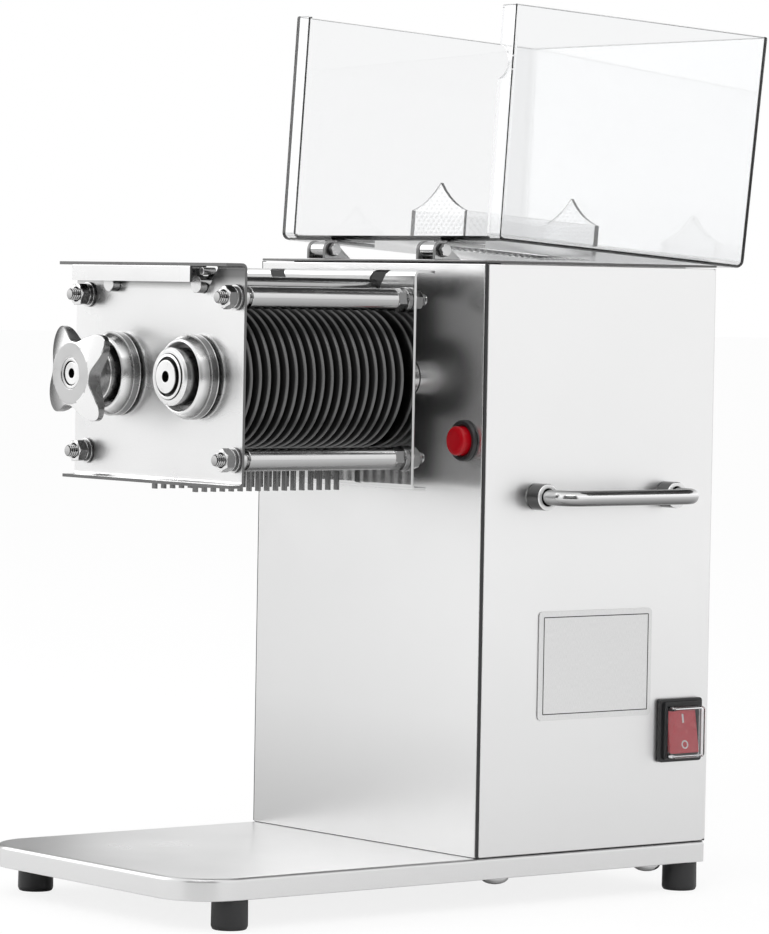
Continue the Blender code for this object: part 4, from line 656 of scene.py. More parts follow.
# Painted shade: a near black copy of the steel down in threads, holes and grooves.
GROOVE_PAINTED_SHADE = polished("groove_painted_shade", 0.05, 0.35)
# A lit and a shaded copy of turned steel: a painted highlight on end faces, painted shade on sides.
BRIGHT_FACE_PAINTED_HIGHLIGHT = polished("turned_face_painted_highlight", 0.86, 0.30)
TURNED_SIDE_PAINTED_SHADE = polished("turned_side_painted_shade", 0.34, 0.20)
POLISHED = polished("polished_steel", 0.66, 0.12)
BRIGHT = polished("bright_bolt_steel", 0.56, 0.14)
DARK_STEEL = polished("dark_washer_steel", 0.12, 0.30)
MACHINED = polished("machined_steel", 0.45, 0.28)
EAR_STEEL = polished("ear_steel", 0.56, 0.30)
# Painted shade: a dark copy of the steel for the comb tines down between the discs.
COMB_TINE_PAINTED_SHADE = polished("comb_tine_painted_shade", 0.20, 0.24)
# Painted light along the cup's depth: bright at the crest, darker down its slope, a light line at
# the flange's front and a bright band at its back edge, dark between, and near black at the foot by
# the plate.
CUP_STEEL_PAINTED_LIGHT = polished("cup_painted_light", 0.86, 0.26, ("Y", [(FACE + place, factor) for place, factor in (
    (-0.0142, 1.0), (-0.0118, 0.92), (-0.0095, 0.52), (-0.0078, 0.30), (-0.0073, 0.62),
    (-0.0069, 0.28), (-0.0030, 0.22), (-0.0025, 0.95), (-0.0019, 0.95), (-0.0016, 0.04),
    (0, 0.04))]))
# Painted shade: the knob's left lobes are dark, and its sides take a dark copy of the steel.
KNOB_STEEL_PAINTED_SHADE = polished("knob_painted_shade", 0.90, 0.24, (
    "X", ((-0.078, 0.12), (-0.064, 0.16), (-0.052, 0.52), (-0.044, 1.0), (-0.006, 1.0))))
KNOB_DISC = polished("knob_disc_steel", 0.55, 0.34)
KNOB_SIDE_PAINTED_SHADE = polished("knob_side_painted_shade", 0.30, 0.26)
# The handle bar's finish is a painted reflection; the bosses' sides take painted shade.
HANDLE_PAINTED_REFLECTION = rounded("handle_painted_reflection", HANDLE_Z, 0.0051, 0.97, 1.7)
BOSS_PAINTED_SHADE = rounded("boss_painted_shade", HANDLE_Z, 0.0088, 0.14)
# Painted reflections on the hinge barrels and the comb rods.
HINGE_PAINTED_REFLECTION = rounded("hinge_painted_reflection", HINGE_Z, 0.0058, 0.62)
COMB_ROD_PAINTED_REFLECTION = rounded("comb_rod_painted_reflection", COMB_Z, 0.0056, 0.5)
RUBBER = moulded("black_rubber", (0.016, 0.016, 0.017), 0.42)
BLACK = moulded("black_plastic", (0.014, 0.014, 0.015), 0.33)
RED = moulded("red_plastic", (0.34, 0.001, 0.006), 0.22, 0.02, 0.3)
ROCKER_RED = moulded("rocker_red", (0.50, 0.02, 0.035), 0.25, 0.02)
MARK = moulded("mark_white", (0.75, 0.72, 0.72), 0.4, 0.02)
PAINT = moulded("motor_paint", (0.08, 0.09, 0.10), 0.5, 0.1)
CLEAR = clear("clear_guard", (0.920, 0.924, 0.928), 0.03)
BOOT = clear("clear_boot", (0.97, 0.97, 0.98), 0.04)
PATTERNED = patterned("clear_chute")


# Base


def pan(low, high, radii, rows):
    """A shell in rows, closed at both ends: each row is the rectangle, drawn in by a distance and
    at a height. Its corners' radii shrink with it, and stay over 0.3 mm."""
    points = []
    for distance, height in rows:
        corners = (low[0] + distance, low[1] + distance), (high[0] - distance, high[1] - distance)
        ring = rounded_rectangle(*corners, np.maximum(np.array(radii) - distance, 0.0003), 10)
        points.append(placed(*ring.T, height, "Z"))
    return capped(points, len(rows), len(points[0]))


def quarter_rows(radius, height, rising, steps=4):
    """(inset, height) rows round a quarter bend between a deck and a skirt."""
    rows = [(radius * (1 - math.sin(a)), height - radius * (1 - math.cos(a)))
            for a in np.linspace(0, math.pi / 2, steps + 1)]
    return rows[::-1] if rising else rows


def build_tray():
    """An inverted pan: deck, bent edge, skirt, hem and the same again inside."""
    sheet, bend, hem = 0.002, 0.0026, 0.0004
    rows = quarter_rows(bend, TRAY_TOP, False)
    rows += [(0, TRAY_LOW + hem), (hem, TRAY_LOW), (sheet - hem, TRAY_LOW), (sheet, TRAY_LOW + hem)]
    inside = quarter_rows(bend - sheet + 0.0006, TRAY_TOP - sheet, True)
    rows += [(sheet + distance, height) for distance, height in inside]
    shell = pan((-HALF_WIDTH, TRAY_FRONT), (HALF_WIDTH, REAR), (0.035, 0.035, 0.004, 0.004), rows)
    # The tray's finish carries painted shade on its deck.
    made("tray", [shell], TRAY_STEEL_PAINTED_SHADE, "cabinet", "tray_steel", "base_tray", sharp=30)


def build_feet():
    """Turned rubber feet: a rounded toe, a slightly waisted wall and a flat top."""
    rise = TRAY_LOW - GAP
    wall = eased([(0, 0), (0.0105, 0), (0.0115, 0.0022), (0.0113, rise), (0, rise)],
                 (0, 0.0012, 0.003, 0.0006, 0), 5)
    for end, y in (("front", TRAY_FRONT + 0.0378), ("rear", REAR - 0.0120)):
        for hand, side in SIDES:
            node = f"foot_{end}_{hand}"
            at = (side * (HALF_WIDTH - 0.0127), y, 0)
            stem = rod(0.006, rise - 0.001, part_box(node)[1][2], at, "Z", 24)
            made(f"rubber_{node}", [turned(wall, at, "Z", 48), stem], RUBBER,
                 "cabinet", "black_rubber", node)


def build_tray_bolts():
    """Two dome heads show under each side of the tray: a dome and its shank."""
    dome = [(0.0092 * math.sin(a), TRAY_LOW - 0.0010 - 0.0048 * math.cos(a))
            for a in np.linspace(0, math.pi / 2, 8)]
    dome += [(0.0092, TRAY_TOP - 0.003), (0, TRAY_TOP - 0.003)]
    shells = [turned(dome, (x, y, 0), "Z", 32)
              for x in (-0.103, 0.103) for y in (FRONT + 0.029, FRONT + 0.159)]
    made("tray_bolts", shells, POLISHED, "cabinet", "polished_steel")


# Cabinet


def channel(face, inward):
    """From above: a sheet right across the cabinet whose ends go back as returns."""
    outer, inner = HALF_WIDTH - 0.0011, HALF_WIDTH - SHEET - GAP
    back, tip = face + inward * SHEET, face + inward * 0.009
    corners = [
        (-outer, face), (outer, face), (outer, back), (inner, back), (inner, tip),
        (inner - SHEET, tip), (inner - SHEET, back), (-inner + SHEET, back),
        (-inner + SHEET, tip), (-inner, tip), (-inner, back), (-outer, back),
    ]
    radii = (0.0016, 0.0016, 0.0003, 0.0002, 0, 0, 0.0006, 0.0006, 0, 0, 0.0002, 0.0003)
    return eased(corners, radii, 4, closed=True)


def build_panels():
    """Front panel and rear cover with returns, the sides between them, and the top over all."""
    top = TOP - SHEET - 0.0008
    near, far = FRONT - 0.004, FRONT + 0.004
    holes = [rod(0.0126, near, far, (side * SHAFT_X, 0, SHAFT_Z)) for _, side in SIDES]
    holes.append(rod(0.0112, near, far, (BUTTON_X, 0, BUTTON_Z), "Y", 40))
    # The front panel's finish carries painted shade.
    made("front_panel", [extruded(channel(FRONT, 1), CABINET_LOW, top, "Z", 0.0005)], FRONT_STEEL_PAINTED_SHADE,
         "cabinet", "cabinet_steel", "cabinet_front_panel", sharp=30, cut=[holes])

    near, far = REAR - 0.004, REAR + 0.004
    vents = [rounded_rectangle((-0.035, z - 0.002), (0.035, z + 0.002), 0.0019, 5)
             for z in TOP - 0.120 - 0.011 * np.arange(7)]
    holes = [extruded(vent, near, far, "Y", 0) for vent in vents]
    holes.append(rod(0.0078, near, far, (-0.070, 0, TRAY_TOP + 0.050), "Y", 32))
    made("rear_cover", [extruded(channel(REAR, -1), CABINET_LOW, top, "Z", 0.0005)], SHEET_STEEL,
         "cabinet", "cabinet_steel", "cabinet_rear_cover", sharp=30, cut=[holes])

    start, end = FRONT + SHEET + 0.0010, REAR - SHEET - GAP
    outline = eased([(start, CABINET_LOW), (end, CABINET_LOW), (end, top), (start, top)],
                    (0.0012, 0.003, 0.0025, 0.0012), 6, closed=True)
    inner, outer = 0.114, 0.123
    for hand, side in SIDES:
        walls = sorted((side * (HALF_WIDTH - SHEET), side * HALF_WIDTH))
        holes = [rod(0.0033, side * inner, side * outer, (0, y, HANDLE_Z), "X", 24) for y in GRIPS]
        if side > 0:
            holes.append(block((inner, SWITCH_Y - 0.0171, SWITCH_Z - 0.0198),
                               (outer, SWITCH_Y + 0.0171, SWITCH_Z + 0.0201)))
        # The side panels' finish carries painted shade towards their foot.
        made(f"{hand}_side_panel", [extruded(outline, *walls, "X", 0.0006, 3)], SIDE_STEEL_PAINTED_SHADE,
             "cabinet", "cabinet_steel", f"cabinet_{hand}_side", sharp=30, cut=[holes])

    outline = rounded_rectangle((-HALF_WIDTH, FRONT), (HALF_WIDTH, REAR), 0.0016, 5)
    lips = [block((x - SHEET / 2, FRONT + 0.020, TOP - 0.012),
                  (x + SHEET / 2, REAR - 0.020, TOP - 0.001)) for x in (-0.109, 0.109)]
    # The top panel's rim takes painted shade.
    made("top_panel", [extruded(outline, TOP - SHEET, TOP, "Z", 0.0006, 3)], SHEET_STEEL,
         "cabinet", "cabinet_steel", "cabinet_top_panel", sharp=30, join=[lips],
         looks=[(CUT_EDGE_PAINTED_SHADE, lambda at, way: (abs(way[2]) < 0.8) & (at[2] > TOP - SHEET))])


def build_rear_screws():
    """Round heads with a straight slot at the rear cover's edges."""
    head = eased([(0, REAR + 0.0022), (0.0034, REAR + 0.0019), (0.0036, REAR + GAP),
                  (0, REAR + GAP)], (0, 0.0012, 0, 0), 5)
    heads, slots = [], []
    for x in (-0.108, 0.108):
        for z in (CABINET_LOW + 0.014, (CABINET_LOW + TOP) / 2, TOP - 0.016):
            heads.append(turned(head, (x, 0, z), "Y", 28))
            slots.append(block((x - 0.0020, REAR + 0.0012, z - 0.0004),
                               (x + 0.0020, REAR + 0.003, z + 0.0004), 0.0001))
    made("rear_screws", heads, BRIGHT, "cabinet", "polished_steel", cut=[slots])


def build_seams():
    """Black strips set into the seams as painted shade: up the front corners and along the foot."""
    shells = []
    for _, side in SIDES:
        low, high = sorted((side * (HALF_WIDTH - 0.0022), side * (HALF_WIDTH - 0.0003)))
        shells.append(block((low, FRONT + 0.0003, CABINET_LOW + 0.0004),
                            (high, FRONT + 0.0024, TOP - SHEET - GAP), 0.0002))
    depth = 0.0006
    outline = rounded_rectangle((-HALF_WIDTH + depth, FRONT + depth),
                                (HALF_WIDTH - depth, REAR - depth), 0.0012, 4)
    shells.append(band(outline, inset(outline, 0.0009), TRAY_TOP, CABINET_LOW + depth, "Z"))
    made("seam_painted_shade", shells, BLACK, "cabinet", "black_rubber")


def build_switch():
    """Rocker switch: a stepped frame round a well, a bent rocker with its marks, and a clear
    splash boot. The marks are a bar and a ring, the common ones for on and off."""
    y, z, rim = SWITCH_Y, SWITCH_Z, SEAT + 0.0055

    def slab(low, high, radius, start, end, ease, steps=2):
        """A shell: a rounded rectangle about the switch's middle, carried along X."""
        outline = rounded_rectangle((y + low[0], z + low[1]), (y + high[0], z + high[1]), radius, 5)
        return extruded(outline, start, end, "X", ease, steps)

    base = slab((-0.01855, -0.01995), (0.01815, 0.02175), 0.0022, SEAT, SEAT + 0.0032, 0.0006)
    step = slab((-0.0163, -0.0182), (0.0160, 0.0197), 0.002, SEAT + 0.0005, rim, 0.0005)
    body = block((HALF_WIDTH - 0.0218, y - 0.0166, z - 0.0196),
                 (SEAT + 0.001, y + 0.0166, z + 0.0196))
    well = block((HALF_WIDTH - 0.019, y - 0.0138, z - 0.0168),
                 (rim + 0.004, y + 0.0138, z + 0.0168), 0.0002)
    made("switch_frame", [base], BLACK, "cabinet", "black_plastic", "switch_bezel",
         join=[[step, body]], cut=[[well]])

    tilt, reach, mark_z = math.radians(9), 0.015, 0.0085
    drop, face = reach * math.tan(tilt), rim + 0.002
    section = eased([(rim - 0.010, z - 0.0075), (rim - 0.010, z + 0.0075),
                     (face - 2 * drop, z + reach), (face - drop, z), (face, z - reach)],
                    (0, 0, 0.0008, 0.012, 0.0008), 6, closed=True)
    made("red_rocker", [extruded(section, y - 0.012, y + 0.012, "Y", 0.0006, 3)], ROCKER_RED,
         "rocker", "red_plastic", "switch_rocker")
    bar = block((-0.0004, -0.0007, -0.0030), (0.0004, 0.0007, 0.0030), 0.0002)
    ring = turned([(0.0024 + 0.0005 * math.cos(a), 0.0004 * math.sin(a))
                   for a in np.linspace(0, 2 * math.pi, 8, endpoint=False)], (0, 0, 0), "X", 32)
    marks = []
    for mark, up in ((bar, 1), (ring, -1)):
        at = (face - drop * (1 + up * mark_z / reach), y, z + up * mark_z)
        marks.append(moved(mark, Matrix.Translation(at) @ Matrix.Rotation(-tilt, 4, "Y")))
    made("rocker_marks", marks, MARK, "rocker", "red_plastic")

    low = rim + GAP
    boot = slab((-0.0147, -0.0170), (0.0137, 0.0168), 0.0025, low, low + 0.0062, 0.0014, 4)
    hollow = slab((-0.0136, -0.0159), (0.0126, 0.0157), 0.0018, rim - 0.004, low + 0.0051, 0.001, 3)
    made("splash_boot", [boot], BOOT, "cabinet", "clear_plastic", "switch_boot", cut=[[hollow]])


def build_button():
    """The push button: a bezel with a collar inside the panel, and a domed cap."""
    seat, front, centre = FRONT - GAP, FRONT - 0.0085, (BUTTON_X, 0, BUTTON_Z)
    bezel = eased(
        [(0, FRONT + 0.0124), (0.0097, FRONT + 0.0124), (0.0097, seat - 0.0018),
         (0.0106, seat - 0.0024), (0.0126, seat - 0.0024), (0.01335, seat - 0.0014),
         (0.01335, seat), (0.0109, seat), (0.0109, FRONT + 0.017), (0, FRONT + 0.017)],
        (0, 0, 0.0003, 0.0004, 0.0006, 0.0004, 0, 0, 0.001, 0))
    made("button_ring", [turned(bezel, centre)], BLACK, "cabinet", "black_plastic", "button_bezel")
    cap = eased([(0, front), (0.0062, front + 0.0001), (0.0094, front + 0.0009),
                 (0.0094, FRONT + 0.008), (0, FRONT + 0.008)], (0, 0.006, 0.0016, 0, 0), 6)
    made("red_button", [turned(cap, centre)], RED, "button", "red_plastic", "button_cap")


def build_plate():
    """The bare plate: a sheet with round corners and a printed border line just inside them."""
    y, z = FRONT + 0.0464, TRAY_TOP + 0.0818
    outline = rounded_rectangle((y + 0.0022, z + 0.0040), (y + 0.0985, z + 0.0742), 0.003, 5)
    made("bare_plate", [extruded(outline, SEAT, SEAT + 0.0007, "X", 0.0002)], PLATE_STEEL,
         "cabinet", "cabinet_steel", "blank_plate")
    outline = rounded_rectangle((y + 0.0060, z + 0.0076), (y + 0.0955, z + 0.0706), 0.0006, 3)
    border = band(outline, inset(outline, 0.0006), SEAT + 0.0006, SEAT + 0.0008, "X")
    made("plate_border", [border], BLACK, "cabinet", "black_plastic")


def build_handles():
    """A bar bent at both ends, into two turned bosses. The bar has a painted reflection, the bosses
    painted shade on their sides and a painted highlight on their rims.
    """
    (near, far), out = GRIPS, HALF_WIDTH + 0.033
    bend = eased([(SEAT + 0.008, near), (out, near), (out, far), (SEAT + 0.008, far)], 0.0125, 12)
    boss = eased(
        [(0, 0.113), (0.003, 0.113), (0.003, SEAT), (0.0086, SEAT), (0.0086, SEAT + 0.0118),
         (0.0056, SEAT + 0.0118), (0.0056, SEAT + 0.0085), (0, SEAT + 0.0085)],
        (0, 0, 0, 0.0004, 0.0009, 0.0005, 0, 0))
    # Painted shade on the bosses' sides, a painted highlight on their front rims.
    looks = [
        (BOSS_PAINTED_SHADE, lambda at, way: (abs(way[0]) < 0.5) & (abs(at[0]) < SEAT + 0.012) & np.all(
            [np.hypot(at[1] - y, at[2] - HANDLE_Z) > 0.0062 for y in GRIPS], 0)),
        (BRIGHT_FACE_PAINTED_HIGHLIGHT, lambda at, way: (abs(way[0]) > 0.5) & (abs(at[0]) > SEAT + 0.0110) & (
            abs(at[0]) < SEAT + 0.0122)),
    ]
    for hand, side in SIDES:
        path = np.stack([side * bend[:, 0], bend[:, 1], np.full(len(bend), HANDLE_Z)], 1)
        shells = [tube(path, 0.005, 32)]
        shells += [turned(boss * (1, side), (0, y, HANDLE_Z), "X", 48) for y in GRIPS]
        made(f"{hand}_handle", shells, HANDLE_PAINTED_REFLECTION, "cabinet", "polished_steel",
             f"handle_{hand}", looks=looks)


def build_hinges():
    """Two ears with a round crown and a sloping back, a bolt through them, and the guard's
    barrel and leaf between them."""
    sole, crown, tail, half = TOP + GAP, 0.0058, HINGE_Y + 0.0155, 0.0070
    ear = [(HINGE_Y - crown, sole)]
    ear += [(HINGE_Y + crown * math.cos(a), HINGE_Z + crown * math.sin(a))
            for a in np.radians(np.linspace(180, 50, 10))]
    ear += [(tail, sole + 0.0004), (tail, sole)]
    leaf = eased([(0.0036, 0.0020), (0.0062, 0.0043), (0.038, 0.0043), (0.038, 0.0067),
                  (0.0062, 0.0067), (0.0062, 0.0056), (0.0010, 0.0050)],
                 (0, 0.001, 0.0004, 0.0004, 0.0002, 0, 0), 3, closed=True)
    centre = (0, HINGE_Y, HINGE_Z)
    for hand, side in SIDES:
        middle = side * HINGE_X
        shells = [extruded(ear, start, start + 0.0025, "X", 0.0004)
                  for start in (middle - 0.0098, middle + 0.0073)]
        shells.append(block((middle - 0.0080, HINGE_Y + 0.0045, sole),
                            (middle + 0.0080, tail, sole + 0.0015)))
        # Painted shade on the brackets' crowns, edges and feet; the ears' flat sides take a lighter
        # steel.
        made(f"{hand}_hinge_bracket", shells, CUT_EDGE_PAINTED_SHADE, "cabinet", "cabinet_steel",
             f"hinge_bracket_{hand}", looks=[(EAR_STEEL, lambda at, way: abs(way[0]) > 0.8)])
        low, high = middle - 0.0098, middle + 0.0098
        bolt = [(0, low - 0.001), (0.0044, low - 0.001), (0.0044, low), (0.003, low),
                (0.003, high), (0.0046, high), (0.0046, high + 0.001), (0, high + 0.001)]
        nut = hex_nut(centre, 0.0074, high + 0.001, high + 0.0050, 0, "X", 10)
        # The hinge bolts: dark steel with a painted highlight on the nut's outer end.
        made(f"{hand}_hinge_bolt", [turned(bolt, centre, "X", 32), nut], DARK_STEEL,
             "cabinet", "polished_steel",
             looks=[(NUT_FACE_PAINTED_HIGHLIGHT, lambda at, way: (way[0] > 0.6) & (at[0] > high + 0.0030))])
        shells = [collar(0.0034, 0.0052, -half, half, 0.0004, (middle, 0, 0), "X", 40),
                  extruded(leaf, middle - half, middle + half, "X", 0.0003)]
        # The hinge leaf and barrel carry a painted reflection.
        made(f"{hand}_hinge_leaf", [moved(shell, GUARD_PLACE) for shell in shells], HINGE_PAINTED_REFLECTION,
             "cover", "cabinet_steel", f"hinge_barrel_{hand}")


# Guard

# From the guard's own directions, its axis at zero, to where it rests on the cabinet.
GUARD_PLACE = Matrix.Translation((0, HINGE_Y, HINGE_Z)) @ Matrix.Rotation(-TILT, 4, "X")


def flared(shell):
    """The guard's walls spread towards their free edge: X grows with height, and the far wall
    leans out and stands a little higher."""
    points, faces = shell
    x, y, z = points.T
    height = np.clip((z - 0.0102) / 0.1478, 0, 1)
    depth = np.clip((y - 0.008) / 0.212, 0, 1)
    x = x * (1 + height * (0.0002 + 0.0056 * depth) / 0.11625)
    return np.stack([x, y + height * depth * 0.002, z + height * depth * 0.0027], 1), faces


def build_guard():
    """A clear pan: its outer skin, its rim and its inner skin are one run of rows. Its mouth, the
    chute's opening and a bite for the push button are cut out."""
    low, high, rim = 0.007, 0.158, 0.0006
    wall, bend, half_width = 0.003, 0.005, 0.11625
    floor = low + wall
    rows = [(distance, 2 * low - height) for distance, height in quarter_rows(bend, low, False, 5)]
    rows += [(0, high - rim), (rim, high), (wall - rim, high), (wall, high - rim)]
    inside = quarter_rows(bend - wall, floor, True, 5)
    rows += [(wall + distance, 2 * floor - height) for distance, height in inside]
    shell = pan((-half_width, 0.008), (half_width, 0.220), (0.0025, 0.0025, 0.004, 0.004), rows)
    guard = piece_from("clear_guard", [flared(shell)], CLEAR, 30)
    mouth, chute = half_width - 0.014, 0.0282 + GAP
    for tool in (
        block((-mouth, 0.0, floor), (mouth, 0.014, high + 0.01), 0.0005),
        block((-chute, 0.0493 - GAP, 0.0), (chute, 0.164 + GAP, floor + 0.004), 0.0002),
        rod(0.0112, 0.0, 0.0125, (BUTTON_X, 0, HINGE_Z - BUTTON_Z)),
    ):
        carved(guard, [tool], "DIFFERENCE", 30)
    guard.data.transform(GUARD_PLACE)
    fit(guard, "cover", "clear_plastic", "guard_cover")


# Cassette


def hook_slot(side, start, end, less=0.0):
    """The open hook slot of a comb's rod, carried from start to end, less a bit all round."""
    centre = np.array([side * COMB_X, COMB_Z])
    up = np.array([side * math.sin(SLOT_TILT), math.cos(SLOT_TILT)])
    across = np.array([up[1], -up[0]])
    swing = math.atan2(across[1], across[0]) - np.linspace(0, math.pi, 17)
    round_end = centre + 0.006 * np.stack([np.cos(swing), np.sin(swing)], 1)
    top = centre + up * 0.030
    outline = np.concatenate([round_end, [top - across * 0.006, top + across * 0.006]])
    return extruded(inset(counter_clockwise(outline), less), start, end, "Y", 0)


def hook_slots(*reach):
    """Both sides' hook slots over the same reach."""
    return [hook_slot(side, *reach) for _, side in SIDES]


def drilled(start, end):
    """The holes of both plates, for the rolls and the ties."""
    holes = [(side * SHAFT_X, SHAFT_Z, 0.014) for _, side in SIDES]
    holes += [(x, z, 0.0045) for _, x in TIES for z in TIE_HEIGHTS.values()]
    return [rod(radius, start, end, (x, 0, z), "Y", 40) for x, z, radius in holes]


def folded(path, start, end, radius):
    """A shell: plate bent along the path of its middle, carried along X."""
    return extruded(bent_sheet(path, PLATE, radius), start, end, "X", 0.0003)


def build_plates():
    """Front and rear plates with flanges above and below, painted shade under the front plate's
    upper flange and on the rear plate's back, and black pieces that fill the rear slots.
    """
    half, bend = PLATE / 2, 0.0028
    top, low, edge = TOP - 0.005, TOP - 0.1438, FACE - 0.014
    plate = folded([(FACE - 0.0095, low + half), (FACE + half, low + half),
                    (FACE + half, top - half), (edge, top - half)], -PLATE_HALF, PLATE_HALF, bend)
    lip = folded([(edge + half, top - 0.012), (edge + half, top - half),
                  (edge + 0.006, top - half)], -0.0765, 0.0525, 0.0016)

    def is_lip(at, way):
        """The lip that hangs from the upper flange, which keeps the plain cassette sheet instead of
        the painted shade.
        """
        return (at[1] < edge + 0.003) & (at[2] < top - PLATE) & (at[2] > top - 0.0125)

    def is_cut(at, way):
        """The sheet's cut edges, which take painted shade: both sides, and the free edges of
        flanges and lip.
        """
        side = abs(way[0]) > 0.6
        lower = (way[1] < -0.5) & (at[1] < FACE - 0.009) & (at[2] < low + 0.004)
        upper = (at[1] < edge + 0.0004) & (at[2] > top - PLATE)
        under = (at[1] < edge + 0.003) & (at[2] < top - 0.0117) & (at[2] > low + 0.05)
        return side | lower | upper | (under & (abs(way[1]) < 0.7))

    made("front_plate", [plate], FRONT_PLATE_PAINTED_SHADE, "cassette", "cassette_steel",
         "cassette_front_plate", sharp=30, join=[[lip]],
         cut=[drilled(FACE - 0.004, FACE + 0.006), hook_slots(FACE - 0.0095, FACE + 0.006)],
         looks=[(CASSETTE_STEEL, is_lip), (CUT_EDGE_PAINTED_SHADE, is_cut)])

    top, low = TOP - 0.007, TOP - 0.1467
    plate = folded([(BACK + 0.0098, low + half), (BACK - half, low + half),
                    (BACK - half, top - half), (BACK + 0.0145, top - half)],
                   -PLATE_HALF, PLATE_HALF, bend)
    made("rear_plate", [plate], REAR_PLATE_STEEL, "cassette", "cassette_steel",
         "cassette_rear_plate", sharp=30,
         cut=[drilled(BACK - 0.006, BACK + 0.004), hook_slots(BACK - 0.006, BACK + 0.020)],
         # Painted shade on the rear plate's back; the flanges and some edges take the plain
         # cassette sheet.
         looks=[(PLATE_BACK_PAINTED_SHADE, lambda at, way: way[1] > 0.5),
                (CASSETTE_STEEL, lambda at, way: (abs(way[2]) > 0.5) | (
                    (way[0] > 0.5) & (at[1] < BACK - 0.0003)))])
    # Black pieces fill the rear plate's hook slots.
    fills = hook_slots(BACK - 0.0016, BACK + 0.0140, 0.0002)
    above = block((-0.1, BACK - 0.010, top - 0.0012), (0.1, BACK + 0.020, top + 0.050))
    made("slot_fills", fills, BLACK, "cassette", "black_plastic", cut=[[above]])


def build_ties():
    """Each tie: a threaded stud, a spacer tube with a turned neck, and its nuts and washers."""
    collar_y, washer, nut = FACE + PLATE + GAP, BACK - PLATE - GAP - 0.003, BACK + GAP
    seat = FACE - GAP
    flat, spring = seat - 0.0016, seat - 0.0036
    spacer = eased(
        [(0, collar_y), (0.0070, collar_y), (0.0070, collar_y + 0.0027),
         (0.0050, collar_y + 0.0027), (0.0050, collar_y + 0.0052), (0.0070, collar_y + 0.0052),
         (0.0070, washer - 0.008), (0.0050, washer - 0.008), (0, washer - 0.008)],
        (0, 0.0005, 0.0005, 0, 0, 0.0007, 0.0004, 0, 0))
    for level, z in TIE_HEIGHTS.items():
        for hand, x in TIES:
            at = (x, 0, z)
            shells = [
                turned(spacer, at, "Y", 48),
                hex_nut(at, NUT_FLATS, washer - 0.0080, washer - 0.0005, 0.003, "Y", 20),
                collar(0.003, 0.008, washer - 0.0006, washer + 0.003, 0.0004, at, "Y", 40),
                hex_nut(at, NUT_FLATS, nut, nut + 0.0065, 0.003, "Y", 45),
                thread(at, nut + 0.006, BACK + 0.0125),
                thread(at, FACE - 0.0155, collar_y + 0.001),
            ]
            looks = [
                # Painted shade down in the thread's grooves.
                (GROOVE_PAINTED_SHADE, lambda at, way: thread_groove(at, way, x, z)),
                # Painted shade on the nuts' flats.
                (NUT_FLAT, lambda at, way: (abs(way[1]) < 0.5) & (off_axis(at, x, z) > 0.0055) & (
                    at[1] > washer - 0.0079) & (abs(at[1] - BACK) > 0.0018)),
            ]
            # The tie's finish is a painted reflection across its round tube.
            made(f"tie_{level}_{hand}", shells, rounded(f"tie_steel_{level}_{hand}", z, 0.0075),
                 "cassette", "polished_steel", f"tie_rod_{level}_{hand}", sharp=40, looks=looks)
            washers = [collar(0.0043, 0.008, seat, flat, 0.0003, at),
                       collar(0.0043, 0.0068, flat, spring, 0.0005, at)]
            # The washers: dark steel with a painted highlight on their front faces.
            made(f"washers_{level}_{hand}", washers, DARK_STEEL, "cassette", "polished_steel",
                 looks=[(NUT_FACE_PAINTED_HIGHLIGHT, lambda at, way: way[1] < -0.3)])
            # The front nut: painted shade on its flats, a painted highlight on its front face.
            front = hex_nut(at, NUT_FLATS, spring - 0.0065, spring, 0.0049, "Y",
                            15 + 20 * np.sign(x))
            made(f"nut_{level}_{hand}", [front], NUT_FLAT, "cassette", "polished_steel",
                 f"tie_nut_{level}_{hand}", looks=[(NUT_FACE_PAINTED_HIGHLIGHT, lambda at, way: way[1] < -0.35)])


def disc_places(count):
    """The middles of count discs along Y, about the middle between the plates."""
    return (FACE + BACK) / 2 + 0.0013 + (np.arange(count) - (count - 1) / 2) * PITCH


def build_rolls():
    """Each roll: discs with a ground bevel to a thin rim, and spacers between, as one profile."""
    start, end, spacer = FACE + PLATE + 0.0006, BACK - PLATE - 0.0006, 0.014
    disc = np.array([(spacer, -0.0015), (0.0430, -0.0015), (0.0444, -0.0012), (0.0450, -0.0004),
                     (0.0450, 0.0006), (0.0444, 0.0013), (0.0430, 0.0015), (spacer, 0.0015)])
    for hand, side, count in (("left", -1, 17), ("right", 1, 18)):
        x = side * SHAFT_X
        profile = [(0.0123, start), (0.0138, start), (spacer, start + 0.0002)]
        profile += [*np.concatenate([disc + (0, y) for y in disc_places(count)])]
        profile += [(spacer, end), (0.0123, end)]
        made(f"{hand}_blades", [turned(profile, (x, 0, SHAFT_Z), "Y", 96)],
             blade_finish(f"{hand}_blade_steel", x), f"roll_{hand}", "blade_steel",
             f"blade_pack_{hand}", sharp=25)


